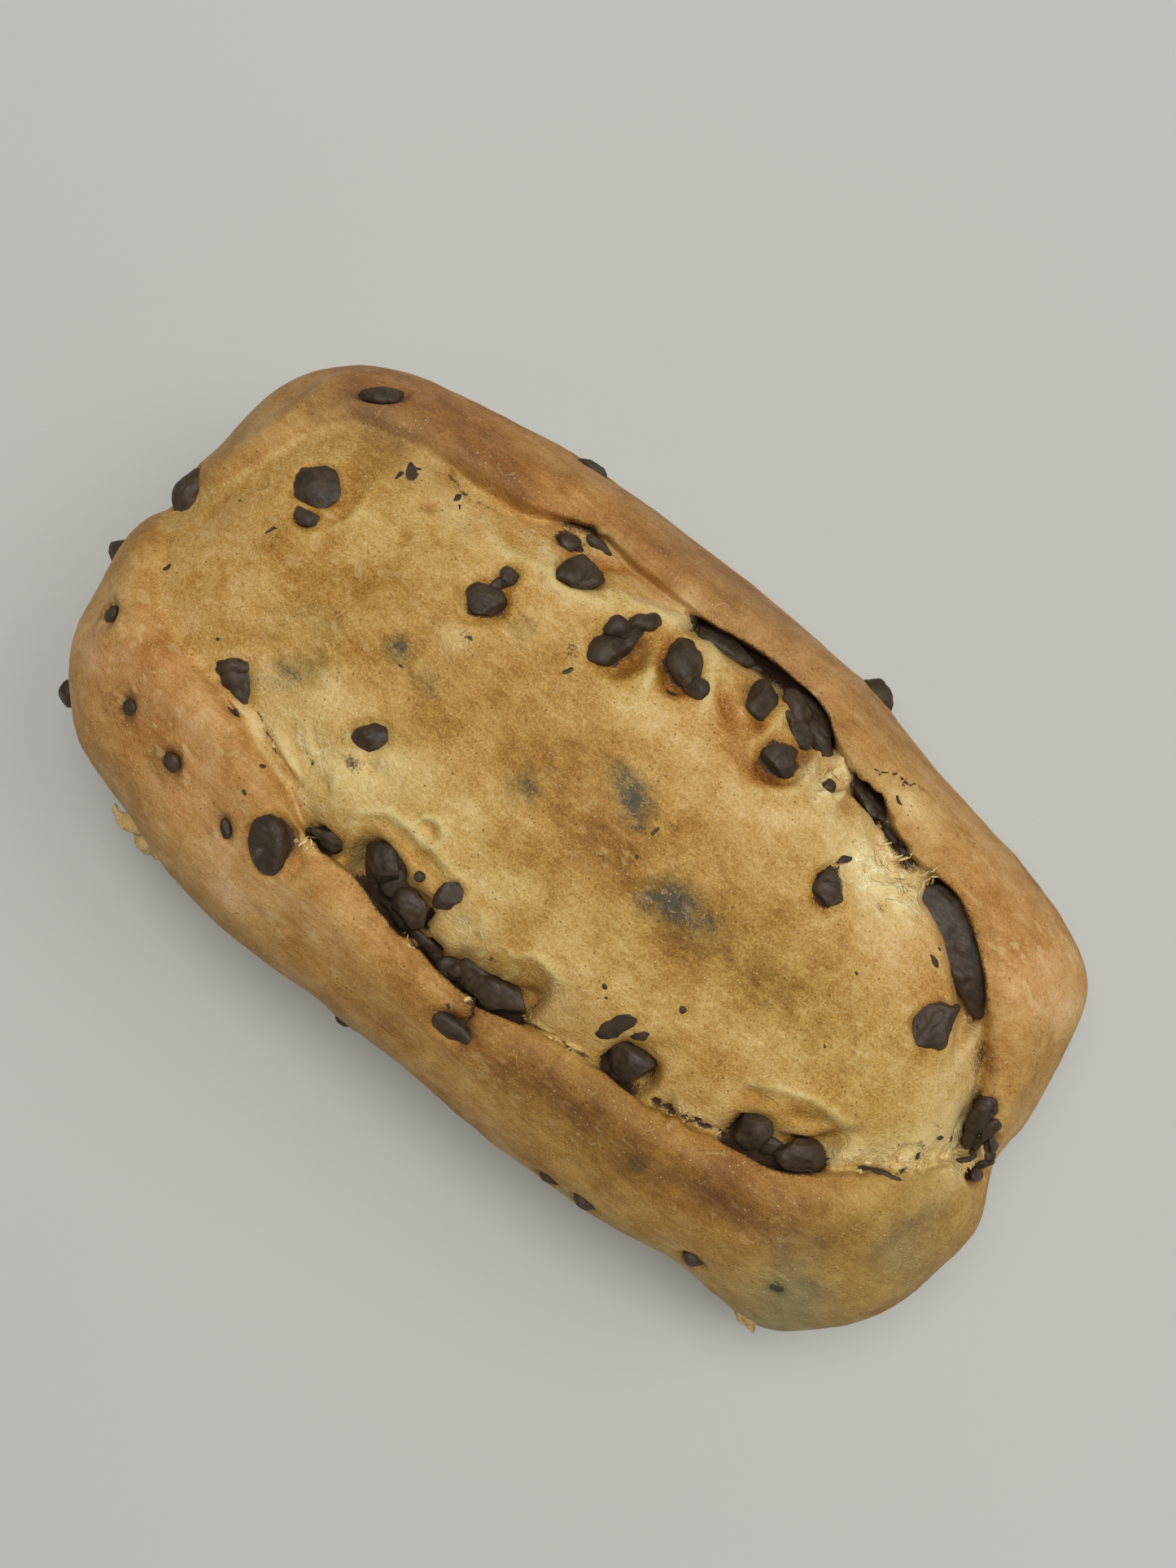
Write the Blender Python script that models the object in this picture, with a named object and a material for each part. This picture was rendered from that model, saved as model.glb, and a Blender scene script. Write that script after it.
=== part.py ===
# Chocolate chip brioche: one baked loaf with chocolate chips set in its crust.
# A pale domed middle swells up between two browned rolls of dough. Each roll ends in
# a lip over a seam, and the seams gape where chips melted in them.
# Lengths are in millimetres here, and MM makes them metres in the meshes.
# +X runs along the loaf, +Y across it, +Z up, with the origin under its middle.

import math
import random

import bmesh
import bpy
import numpy as np
from mathutils import Vector, noise

MM = 0.001

# The loaf as a whole
HALF_LENGTH = 118.5
HALF_WIDTH = 64.3
HEIGHT = 88.0
WIDEST_HEIGHT = 45.0
PLAN_SQUARENESS = 3.5
DOME_SQUARENESS = 2.4
NEAR_EDGE = 0.998

# How the plan departs from a plain rounded oblong: a bowed middle line, a waist, the
# +X end cut back on its +Y side, a notch at the -X end, and swells in the outline
MIDLINE_OFFSET = -1.6
MIDLINE_BOW = 2.4
BOW_CENTRE = 8.0
BOW_REACH = 45.0
WAIST = 0.04
WAIST_CENTRE = 58.0
WAIST_REACH = 32.0
END_SLANT = 6.5
SLANT_SIDES = (-11.0, 8.0)
SLANT_FROM = 30.0
NOTCH = 3.0
NOTCH_SIDE = -1.0
NOTCH_REACH = 6.0
NOTCH_FROM = 60.0
# x, y, how far out, reach
SWELLS = (
    (104, 46, 3.2, 13), (76, -58, -4.2, 13), (97, -57, 2.0, 9), (-44, -66, 1.6, 20),
    (-97, -57, 1.2, 10), (-80, -59, -1.2, 10), (-116, 16, -2.2, 16), (-118, -26, -1.4, 9),
    (-82, 57, -1.4, 16), (48, 61, -0.8, 16),
)

# The flank below the widest height: it tucks in to the flat base, and dough spread
# out low down at two corners, its feet
BASE_TUCK = 12.0
TUCK_SHAPE = 3.2
RING_HEIGHTS = (34.0, 22.0, 12.0, 4.5, 0.0)
FOOT_SPREAD = 5.0
FOOT_REACH = 20.0
FOOT_HEIGHTS = (22.0, 44.0)
FEET = ((99.0, -46.0), (-93.0, -45.0))

# Lips of the two rolls, along X, as seen from above
UPPER_LIP = (
    (-115, -1), (-105, 7.4), (-97, 26.8), (-81.7, 36.6), (-61.3, 39.5), (-51.2, 42),
    (-41, 48.1), (-28.8, 48.1), (-12.5, 48.6), (1.8, 50.9), (12, 51.9), (22.1, 50.7),
    (30.3, 45.4), (40.5, 44.6), (52.7, 39.5), (67.9, 38.6), (81.2, 30.1), (91.4, 19.6),
    (98.5, 11), (106.6, 2.3), (116, -4),
)
LOWER_LIP = (
    (-116, -5), (-107.2, -11.9), (-100, -20.1), (-89.8, -24.6), (-71.5, -26.5),
    (-61.3, -29.2), (-51.2, -33.1), (-43, -37.4), (-28.8, -37.9), (-18.6, -40.2),
    (-8.4, -40.9), (1.8, -41.4), (9.9, -40.8), (20.1, -37.2), (32.3, -35.1),
    (42.5, -34.6), (52.7, -32.3), (64.9, -29.7), (76.1, -26.5), (83.2, -20.6),
    (91.4, -13.7), (97.5, -8.4), (102.5, -1.7), (116, 2),
)

# Depth of each seam at the -X end, along most of it, and at the +X end, and where along
# X it deepens and fades
UPPER_DEPTHS = (2.5, 6.5, 3.5)
LOWER_DEPTHS = (1.2, 6.5, 3.5)
DEEPENS = (-100.0, -35.0)
FADES = (88.0, 112.0)

# Across a seam: the middle slopes down to it, and the roll beyond has a lip and a crest
MIDDLE_REACH = 15.0
ROLL_REACH = 7.0
LIP_DROP = 0.35
LIP_STEP = 0.6
CREST_HEIGHT = 2.6
CREST_OFFSET = 7.0
CREST_REACH = 6.5
SEAMS_END = (0.93, 1.0)

# Openings along a seam: start, end, width towards the middle, depth, with soft ends,
# a steep wall under the lip and a gentler one opposite
UPPER_OPENINGS = (
    (-46, -35, 2.0, 4.0), (-12, 29, 4.6, 8.0), (34, 46, 4.2, 6.5),
    (46, 59, 2.0, 3.5), (60, 88, 7.0, 8.5), (88, 96, 2.2, 3.5), (96, 106, 6.0, 4.5),
)
LOWER_OPENINGS = (
    (-44, -34, 4.0, 6.0), (-33, -11, 9.5, 7.5), (-12, -3, 4.2, 8.0), (-4, 17, 7.5, 7.0),
    (32, 44, 8.5, 5.5), (44, 60, 1.6, 2.5), (60, 82, 8.5, 6.0), (84, 100, 1.6, 2.5),
)
OPENING_ENDS = (1.0, 2.0)
LIP_WALL = (-0.2, 1.2)
MIDDLE_WALL = (0.8, 1.4)

# The mesh: columns along X, and rows at distances from each lip, the roll's side first,
# with even rows between. Near the ends the rows run straight on. The grid spreads evenly
# over the middle of the dome, and more thinly towards its edge.
LIP_ROWS = (9.0, 4.5, 1.6, 0.3, -1.0, -3.4, -6.4, -10.5)
ROWS_STRAIGHT_FROM = 86.0
ROW_LIMIT = 0.97
HALVINGS = 24
COLUMNS = 54
ROLL_ROWS = 4
MIDDLE_ROWS = 5
CENTRE_SPREAD = 1.3
EDGE_POWER = 4

# Chips set in the crust from above: name, x, y, length, width, turn, stand.
# Stand is how far the top of the chip is above the crust round it.
PLAIN_CHIPS = (
    ("chip_left_large", -87.0, 17.6, 10.4, 8.8, 10, 1.1),
    ("chip_left_large_bit", -84.6, 11.2, 5.6, 3.6, 15, 0.4),
    ("chip_left_sliver", -91.5, 41.5, 10.0, 3.6, 38, 0.5),
    ("chip_left_round", -44.8, 21.4, 9.0, 8.6, 5, 1.0),
    ("chip_left_round_bit", -44.5, 28.6, 4.6, 4.0, 80, 0.5),
    ("chip_in_fold", -40.8, 42.7, 6.6, 4.2, 20, 0.4),
    ("chip_upper_left", -33.8, 38.4, 9.0, 7.4, 20, 1.2),
    ("chip_upper_block", 10.5, 43.4, 7.2, 6.8, 80, 0.6),
    ("chip_upper_middle", 21.0, 36.3, 9.2, 7.6, 10, 1.0),
    ("chip_in_torn_pit", 32.1, 38.4, 3.0, 2.6, 0, 0.2),
    ("chip_right_oval", 45.1, 22.0, 9.6, 6.8, 102, 0.9),
    ("chip_right_horned", 79.0, 15.4, 10.0, 7.6, -78, 1.0),
    ("chip_far_end_horn", 107.2, 5.4, 4.0, 2.8, -30, 0.8),
    ("chip_far_end_bit", 108.2, -1.4, 3.8, 3.0, 70, 0.8),
    ("chip_roll_end_sliver", -104.5, -29.5, 4.8, 2.8, -60, 0.3),
    ("chip_roll_sunk_round", -88.2, -41.7, 4.4, 4.2, 0, 0.2),
    ("chip_roll_sunk_oval", -73.2, -44.5, 5.2, 3.8, -15, 0.3),
    ("chip_roll_dash", -55.6, -47.3, 4.4, 2.2, -35, 0.2),
    ("chip_roll_big_oval", -46.2, -43.6, 11.6, 9.0, -25, 1.0),
    ("chip_seam_left", -38.2, -35.2, 7.0, 4.4, 0, -1.5),
    ("chip_seam_pair_left", -26.4, -31.8, 9.4, 8.2, 10, -0.4),
    ("chip_seam_pair_right", -15.9, -35.2, 9.8, 8.4, -15, -0.8),
    ("chip_diamond", -11.9, -27.9, 6.2, 4.6, 60, 0.3),
    ("chip_seam_bead", -1.6, -39.0, 4.0, 3.6, 0, -1.6),
    ("chip_roll_almond", 5.8, -48.4, 8.6, 3.5, 5, 0.4),
    ("chip_seam_middle", 37.2, -30.7, 11.4, 8.4, 25, -0.3),
    ("chip_seam_right_round", 65.2, -24.8, 8.8, 8.4, 60, -0.4),
    ("chip_seam_right_long", 76.4, -22.0, 10.6, 7.4, 30, -0.2),
)

# Chips that melted along a line: name, (x, y, width) stations, stand
MELTED_CHIPS = (
    ("melt_pear", ((-20.2, 23.4, 4.0), (-20, 27.5, 9.0), (-19.2, 34, 5.6), (-17, 41.5, 4.6)), 0.8),
    ("melt_twin", ((-9.8, 42, 4.0), (-7, 38.8, 7.6), (-3, 36.4, 4.8), (-0.4, 35.4, 4.2)), 0.9),
    ("melt_upper_seam", ((-9.8, 47.0, 3.4), (-3.2, 48.2, 4.6), (4.8, 49.3, 3.0)), -1.6),
    ("melt_upper_seam_right", ((15, 49.2, 3.2), (21, 48.6, 4.2), (26.8, 45.8, 2.6)), -1.4),
    ("melt_upper_saddle", ((16.8, 43.6, 3.6), (20.6, 43.4, 4.2), (25, 42.6, 4.2)), 0.2),
    ("melt_strand_seam", ((36.4, 43.4, 3.0), (40.2, 42.4, 4.4), (44.6, 40.2, 3.0)), -1.4),
    ("melt_strand_bits", ((46.4, 39.9, 2.0), (48.6, 39.6, 2.4), (51, 38.8, 1.8)), -0.4),
    ("melt_long", ((61.7, 37.2, 3.6), (67.4, 36.2, 7.6), (76.6, 31.2, 7.0), (87.2, 23.6, 2.8)), -1.8),
    ("melt_far_end", ((98.8, 13.2, 5.0), (102, 8.6, 7.8), (104, 1.2, 3.0)), 0.6),
    ("melt_tailed", ((-78, -23, 6.0), (-74.8, -22, 8.2), (-71.6, -23.6, 5.0), (-67.8, -26, 3.0)), 0.5),
    ("melt_smeared", ((-47.6, -16.8, 5.8), (-44.6, -14.4, 7.0), (-40.8, -10.8, 3.8)), 0.3),
    ("melt_seam_gap", ((-9.8, -38.2, 2.4), (-7.4, -38.8, 3.0), (-4.6, -39.4, 2.2)), -3.2),
    ("melt_dimpled", ((1.6, -38.6, 4.0), (7.6, -36.8, 6.8), (15.6, -34.4, 4.2)), -0.9),
)

# Chips on the flank: name, x, y, height of its centre, width along, width up, proud
FLANK_CHIPS = (
    ("chip_rim_craggy", 30.0, 66.0, 50.0, 9.5, 7.0, 3.5),
    ("chip_rim_dome", -50.0, 61.0, 58.0, 7.4, 6.5, 1.4),
    ("chip_rim_notch", -113.0, 1.2, 57.0, 10.0, 6.5, 1.6),
    ("chip_rim_ragged", -119.0, -18.5, 45.0, 8.0, 5.0, 2.4),
    ("chip_rim_corner", -106.5, -48.5, 38.0, 6.6, 6.0, 3.6),
    ("chip_low_rim_a", 41.5, -61.0, 59.0, 5.6, 4.6, 0.6),
    ("chip_low_rim_b", 50.5, -60.0, 60.0, 6.4, 4.8, 0.6),
    ("chip_low_rim_c", 76.5, -55.0, 61.4, 5.6, 4.6, 0.7),
    ("chip_low_rim_d", -13.9, -65.0, 50.0, 4.6, 4.0, 0.9),
)

# Chips on the flanks that a view from above misses, spread by a rule
HIDDEN_CHIPS = 8
HIDDEN_HEIGHTS = (18.0, 42.0)
HIDDEN_SIZES = (6.0, 9.0)
HIDDEN_SHAPES = (0.65, 0.9)
HIDDEN_PROUD = 0.8
HEIGHT_NUDGE = 4.0
ANGLE_NUDGE = 0.25
HIDDEN_SEED = 11

# Every chip: the size from which it is a finer ball, its thickness for its width, how
# uneven it is, and the gap left round it in its pocket
LARGE_CHIP = 6.7
CHIP_FLATNESS = 0.66
CHIP_ROUGHNESS = 0.32
LUMP_SCALE = 1.3
POCKET_GAP = 0.4

# Steps that the chips' directions are taken over, and where a flank is looked for along
# a line from the middle
ALONG_STEP = 0.02
NEARBY = 2.0
FLANK_SEARCH = (0.3, 1.3)

SHARP_DEGREES = 50.0
SHORTEST_EDGE = 0.01

CRUST_COLOUR = (0.46, 0.24, 0.085, 1.0)
CRUST_ROUGHNESS = 0.6
CHOCOLATE_COLOUR = (0.035, 0.022, 0.017, 1.0)
CHOCOLATE_ROUGHNESS = 0.45


# Curves and blends

def smooth_step(value, low, high):
    t = np.clip((value - low) / (high - low), 0.0, 1.0)
    return t * t * (3.0 - 2.0 * t)


def hump(value, centre, reach):
    return np.exp(-((value - centre) / reach) ** 2)


def smooth_line(stations, x):
    # Height of a smooth curve through the stations, level beyond its ends
    xs, ys = np.array(stations, dtype=float).T
    slopes = np.gradient(ys, xs)
    i = np.clip(np.searchsorted(xs, x) - 1, 0, len(xs) - 2)
    span = xs[i + 1] - xs[i]
    t = np.clip((x - xs[i]) / span, 0.0, 1.0)
    start = (1 + 2 * t) * (1 - t) ** 2 * ys[i] + t * (1 - t) ** 2 * span * slopes[i]
    end = t ** 2 * (3 - 2 * t) * ys[i + 1] + t ** 2 * (t - 1) * span * slopes[i + 1]
    return start + end


# The loaf's form

def plan_shift(x, y):
    # How far a place on the plain rounded oblong moves on the real plan
    shift_y = MIDLINE_OFFSET + MIDLINE_BOW * hump(x, BOW_CENTRE, BOW_REACH)
    shift_y = shift_y - WAIST * y * hump(x, WAIST_CENTRE, WAIST_REACH)
    far_end = smooth_step(x, SLANT_FROM, HALF_LENGTH)
    near_end = smooth_step(-x, NOTCH_FROM, HALF_LENGTH)
    shift_x = -END_SLANT * far_end * smooth_step(y, *SLANT_SIDES)
    shift_x = shift_x + NOTCH * near_end * hump(y, NOTCH_SIDE, NOTCH_REACH)
    for swell_x, swell_y, out, reach in SWELLS:
        push = out * hump(np.hypot(x - swell_x, y - swell_y), 0.0, reach)
        shift_x = shift_x + push * swell_x / math.hypot(swell_x, swell_y)
        shift_y = shift_y + push * swell_y / math.hypot(swell_x, swell_y)
    return shift_x, shift_y


def dome_point(u, w):
    # A place on the flat grid, -1 to 1 each way, carried on to the dome
    spread = np.maximum(np.abs(u), np.abs(w))
    angle = CENTRE_SPREAD * spread + (math.pi / 2 - CENTRE_SPREAD) * spread ** EDGE_POWER
    out = np.sin(angle)
    up = np.clip(np.cos(angle), 0.0, 1.0)
    size = (out ** DOME_SQUARENESS + up ** DOME_SQUARENESS) ** (1 / DOME_SQUARENESS)
    reach = out / size
    rim = (np.abs(u) ** PLAN_SQUARENESS + np.abs(w) ** PLAN_SQUARENESS) ** (1 / PLAN_SQUARENESS)
    rim = np.maximum(rim, 1e-9)
    x = HALF_LENGTH * reach * u / rim
    y = HALF_WIDTH * reach * w / rim
    shift_x, shift_y = plan_shift(x, y)
    z = WIDEST_HEIGHT + (HEIGHT - WIDEST_HEIGHT) * up / size
    return x + shift_x, y + shift_y, z, reach


def plan_reach(x, y):
    # 0 at the middle of the plan and 1 at its widest outline
    shift_x, shift_y = plan_shift(x, y)
    along = np.abs(x - shift_x) / HALF_LENGTH
    across = np.abs(y - shift_y) / HALF_WIDTH
    reach = (along ** PLAN_SQUARENESS + across ** PLAN_SQUARENESS) ** (1 / PLAN_SQUARENESS)
    return np.minimum(reach, NEAR_EDGE)


def dome_height(x, y):
    reach = plan_reach(x, y)
    rise = (1 - reach ** DOME_SQUARENESS) ** (1 / DOME_SQUARENESS)
    return WIDEST_HEIGHT + (HEIGHT - WIDEST_HEIGHT) * rise


def seam_depth(depths, x):
    shallow, full, far = depths
    depth = shallow + (full - shallow) * smooth_step(x, *DEEPENS)
    return depth + (far - full) * smooth_step(x, *FADES)


def seam_relief(x, y, lip, roll_side, depths, openings, open_up):
    # Height that one seam adds: its valley, the roll's lip and crest, and its openings
    slope = smooth_line(lip, x + 0.5) - smooth_line(lip, x - 0.5)
    out = roll_side * (y - smooth_line(lip, x)) / np.sqrt(1 + slope ** 2)
    depth = seam_depth(depths, x)
    middle = -depth * np.clip(1 + out / MIDDLE_REACH, 0.0, 1.0) ** 2
    roll = -depth * LIP_DROP * np.clip(1 - out / ROLL_REACH, 0.0, 1.0) ** 2
    roll = roll + CREST_HEIGHT * hump(out, CREST_OFFSET, CREST_REACH)
    on_roll = smooth_step(out, -LIP_STEP, LIP_STEP)
    relief = middle * (1 - on_roll) + roll * on_roll
    if not open_up:
        return relief
    before, after = OPENING_ENDS
    for start, end, width, drop in openings:
        along = smooth_step(x, start - before, start + after)
        along = along * smooth_step(-x, -end - before, -end + after)
        across = smooth_step(-out, *LIP_WALL)
        across = across * smooth_step(out + width, -MIDDLE_WALL[0], MIDDLE_WALL[1])
        relief = relief - drop * along * across
    return relief


def crust_relief(x, y, reach, open_up):
    upper = seam_relief(x, y, UPPER_LIP, 1, UPPER_DEPTHS, UPPER_OPENINGS, open_up)
    lower = seam_relief(x, y, LOWER_LIP, -1, LOWER_DEPTHS, LOWER_OPENINGS, open_up)
    return (upper + lower) * (1 - smooth_step(reach, *SEAMS_END))


def crust_height(x, y):
    # Height of the crust as if no seam gaped
    return dome_height(x, y) + crust_relief(x, y, plan_reach(x, y), False)


def row_places(columns, lip, offset):
    # For each column of the grid, how far across it crosses a line beside the lip
    low = np.full_like(columns, -ROW_LIMIT)
    high = np.full_like(columns, ROW_LIMIT)
    for _ in range(HALVINGS):
        w = (low + high) / 2
        x, y, _, _ = dome_point(columns, w)
        wanted = smooth_line(lip, np.clip(x, -ROWS_STRAIGHT_FROM, ROWS_STRAIGHT_FROM)) + offset
        short = y < wanted
        low = np.where(short, w, low)
        high = np.where(short, high, w)
    return (low + high) / 2


def grid_rows(columns):
    # Rows of the mesh across each column, close together beside the two lips
    lower = [row_places(columns, LOWER_LIP, -d) for d in LIP_ROWS]
    upper = [row_places(columns, UPPER_LIP, d) for d in LIP_ROWS]
    edge = np.ones_like(columns)
    roll_steps = np.linspace(0.0, 1.0, ROLL_ROWS + 1)[:-1]
    middle_steps = np.linspace(0.0, 1.0, MIDDLE_ROWS + 1)[1:-1]
    rows = [-edge * (1 - t) + lower[0] * t for t in roll_steps]
    rows += lower
    rows += [lower[-1] * (1 - t) + upper[-1] * t for t in middle_steps]
    rows += upper[::-1]
    rows += [edge * (1 - t) + upper[0] * t for t in roll_steps[::-1]]
    return np.array(rows)


def foot_spread(x, y, z):
    # Dough that spread out low down at two corners
    near = sum(hump(math.hypot(x - fx, y - fy), 0.0, FOOT_REACH) for fx, fy in FEET)
    return FOOT_SPREAD * near * (1 - smooth_step(z, *FOOT_HEIGHTS))


def flank_place(x, y, z):
    # A place on the widest outline carried down to a ring at height z
    tuck = BASE_TUCK * (1 - z / WIDEST_HEIGHT) ** TUCK_SHAPE
    grow = foot_spread(x, y, z) - tuck
    return x * (1 + grow / HALF_LENGTH), y * (1 + grow / HALF_WIDTH)


def new_object(name, bm, material):
    mesh = bpy.data.meshes.new(name)
    bm.to_mesh(mesh)
    bm.free()
    mesh.materials.append(material)
    mesh.shade_smooth()
    mesh.set_sharp_from_angle(angle=math.radians(SHARP_DEGREES))
    piece = bpy.data.objects.new(name, mesh)
    bpy.context.collection.objects.link(piece)
    return piece


def make_loaf(material):
    bm = bmesh.new()
    columns = np.linspace(-1, 1, COLUMNS + 1)
    rows = grid_rows(columns)
    bmesh.ops.create_grid(bm, x_segments=COLUMNS, y_segments=len(rows) - 1, size=1.0)
    bm.verts.ensure_lookup_table()
    flat = np.array([v.co for v in bm.verts])
    column = np.rint((flat[:, 0] + 1) / 2 * COLUMNS).astype(int)
    row = np.rint((flat[:, 1] + 1) / 2 * (len(rows) - 1)).astype(int)
    x, y, z, reach = dome_point(columns[column], rows[row, column])
    z = z + crust_relief(x, y, reach, True)
    for vert, place in zip(bm.verts, np.column_stack((x, y, z))):
        vert.co = place

    outline = bm.verts.layers.float_vector.new("outline")
    for vert in bm.verts:
        vert[outline] = vert.co
    ring = [edge for edge in bm.edges if edge.is_boundary]
    for ring_height in RING_HEIGHTS:
        made = bmesh.ops.extrude_edge_only(bm, edges=ring)["geom"]
        ring = [item for item in made if isinstance(item, bmesh.types.BMEdge)]
        for vert in {vert for edge in ring for vert in edge.verts}:
            wide = vert[outline]
            vert.co = (*flank_place(wide.x, wide.y, ring_height), ring_height)
        ring = [edge for edge in ring if edge.is_boundary]
    bmesh.ops.contextual_create(bm, geom=ring)
    bmesh.ops.recalc_face_normals(bm, faces=bm.faces)
    bmesh.ops.triangulate(bm, faces=bm.faces)
    bmesh.ops.scale(bm, vec=(MM, MM, MM), verts=bm.verts)
    bm.verts.layers.float_vector.remove(outline)
    return new_object("loaf", bm, material)


# The chocolate chips

def rough_ball(length, width, seed):
    # A ball of radius 1 with a gently uneven surface, finer for a large chip
    bm = bmesh.new()
    if max(length, width) >= LARGE_CHIP:
        bmesh.ops.create_icosphere(bm, subdivisions=2, radius=1.0)
    else:
        bmesh.ops.create_uvsphere(bm, u_segments=7, v_segments=4, radius=1.0)
        bmesh.ops.triangulate(bm, faces=bm.faces)
    for vert in bm.verts:
        lump = noise.noise(vert.co * LUMP_SCALE + seed * Vector((3.7, 1.9, 0.0)))
        vert.co *= 1 + CHIP_ROUGHNESS * lump
    return bm


def make_chip(name, stations, stand, seed, material):
    # A chip along stations of (x, y, width), its top at stand above the crust
    places = np.array(stations, dtype=float)
    steps = np.hypot(*np.diff(places[:, :2], axis=0).T)
    along = np.concatenate(([0.0], np.cumsum(steps))) / steps.sum()
    width = places[:, 2].max()
    thick = CHIP_FLATNESS * width
    bm = rough_ball(steps.sum(), width, seed)

    def centre(t):
        line = [smooth_line(np.column_stack((along, places[:, k])), t) for k in range(3)]
        return np.array(line)

    for vert in bm.verts:
        free = (vert.co.x + 1) / 2
        t = min(max(free, 0.0), 1.0)
        x, y, wide = centre(t)
        ahead = centre(min(t + ALONG_STEP, 1.0)) - centre(max(t - ALONG_STEP, 0.0))
        ahead /= math.hypot(ahead[0], ahead[1])
        over = (free - t) * steps.sum()
        side = vert.co.y * wide / 2
        px = x + ahead[0] * over - ahead[1] * side
        py = y + ahead[1] * over + ahead[0] * side
        tilt = dome_height(px, py) - dome_height(x, y)
        z = crust_height(x, y) + tilt + stand + (vert.co.z - 1) * thick / 2
        vert.co = Vector((px, py, z)) * MM
    return new_object(name, bm, material)


def plain_stations(x, y, length, width, turn):
    # Stations of a plain chip: a straight middle line of even width
    reach = Vector((math.cos(math.radians(turn)), math.sin(math.radians(turn)))) * length / 2
    return (x - reach.x, y - reach.y, width), (x, y, width), (x + reach.x, y + reach.y, width)


def flank_point(x, y, z):
    # The flank or dome in the direction of x, y at height z
    rise = max(z - WIDEST_HEIGHT, 0.0) / (HEIGHT - WIDEST_HEIGHT)
    wanted = min((1 - rise ** DOME_SQUARENESS) ** (1 / DOME_SQUARENESS), NEAR_EDGE)
    low, high = FLANK_SEARCH
    for _ in range(HALVINGS):
        middle = (low + high) / 2
        if plan_reach(x * middle, y * middle) < wanted:
            low = middle
        else:
            high = middle
    place = np.array((x * low, y * low))
    if z < WIDEST_HEIGHT:
        place = np.array(flank_place(*place, z))
    return Vector((*place, z))


def make_flank_chip(name, x, y, z, length, height, proud, seed, material):
    # A chip set in the side of the loaf, standing proud of it
    place = flank_point(x, y, z)
    up = (flank_point(x, y, z + NEARBY) - flank_point(x, y, z - NEARBY)).normalized()
    turned = Vector((-place.y / HALF_WIDTH ** 2, place.x / HALF_LENGTH ** 2, 0.0)).normalized()
    beside = flank_point(place.x + NEARBY * turned.x, place.y + NEARBY * turned.y, z)
    around = (beside - place).normalized()
    outward = around.cross(up).normalized()
    thick = CHIP_FLATNESS * max(length, height)
    bm = rough_ball(length, height, seed)
    for vert in bm.verts:
        deep = proud + (vert.co.z - 1) * thick / 2
        beside = around * vert.co.x * length / 2 + up * vert.co.y * height / 2
        vert.co = (place + beside + outward * deep) * MM
    return new_object(name, bm, material)


def hidden_chips():
    # Evenly spread round the loaf, each nudged by a seeded draw
    draw = random.Random(HIDDEN_SEED)
    for i in range(HIDDEN_CHIPS):
        turn = (i + 0.5 + draw.uniform(-ANGLE_NUDGE, ANGLE_NUDGE)) / HIDDEN_CHIPS
        x = HALF_LENGTH * math.cos(2 * math.pi * turn)
        y = HALF_WIDTH * math.sin(2 * math.pi * turn)
        z = HIDDEN_HEIGHTS[i % 2] + draw.uniform(-HEIGHT_NUDGE, HEIGHT_NUDGE)
        length = draw.uniform(*HIDDEN_SIZES)
        height = length * draw.uniform(*HIDDEN_SHAPES)
        yield f"chip_flank_{i + 1}", x, y, z, length, height, HIDDEN_PROUD


def make_chips(material):
    chips = []
    for name, x, y, length, width, turn, stand in PLAIN_CHIPS:
        stations = plain_stations(x, y, length, width, turn)
        chips.append(make_chip(name, stations, stand, len(chips), material))
    for name, stations, stand in MELTED_CHIPS:
        chips.append(make_chip(name, stations, stand, len(chips), material))
    for chip in (*FLANK_CHIPS, *hidden_chips()):
        chips.append(make_flank_chip(*chip, len(chips), material))
    return chips


# Pockets that the chips sit in

def make_cutters(chips):
    # A copy of each chip, grown by the gap
    cutters = bpy.data.collections.new("pocket_cutters")
    bpy.context.scene.collection.children.link(cutters)
    for chip in chips:
        mesh = chip.data.copy()
        for vert, normal in zip(mesh.vertices, [v.normal.copy() for v in mesh.vertices]):
            vert.co += normal * POCKET_GAP * MM
        cutter = bpy.data.objects.new(f"pocket_{chip.name}", mesh)
        cutter.hide_render = True
        cutter.display_type = "WIRE"
        cutters.objects.link(cutter)
    return cutters


def cut_pockets(loaf, cutters):
    # Cuts every pocket at once and keeps the one body that is left
    pockets = loaf.modifiers.new("pockets", "BOOLEAN")
    pockets.operation = "DIFFERENCE"
    pockets.operand_type = "COLLECTION"
    pockets.collection = cutters
    pockets.solver = "EXACT"
    cut = loaf.evaluated_get(bpy.context.evaluated_depsgraph_get())
    bm = bmesh.new()
    bm.from_mesh(cut.to_mesh())
    cut.to_mesh_clear()
    loaf.modifiers.clear()
    keep_largest_body(bm)
    bmesh.ops.dissolve_degenerate(bm, dist=SHORTEST_EDGE * MM, edges=bm.edges)
    bmesh.ops.triangulate(bm, faces=bm.faces)
    bm.to_mesh(loaf.data)
    bm.free()
    for cutter in list(cutters.objects):
        bpy.data.objects.remove(cutter, do_unlink=True)
    bpy.data.collections.remove(cutters)


def keep_largest_body(bm):
    waiting = set(bm.verts)
    bodies = []
    while waiting:
        body = set()
        edge_of_body = [waiting.pop()]
        while edge_of_body:
            vert = edge_of_body.pop()
            body.add(vert)
            for edge in vert.link_edges:
                other = edge.other_vert(vert)
                if other in waiting:
                    waiting.remove(other)
                    edge_of_body.append(other)
        bodies.append(body)
    bodies.sort(key=len)
    scraps = [vert for body in bodies[:-1] for vert in body]
    bmesh.ops.delete(bm, geom=scraps, context="VERTS")


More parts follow.
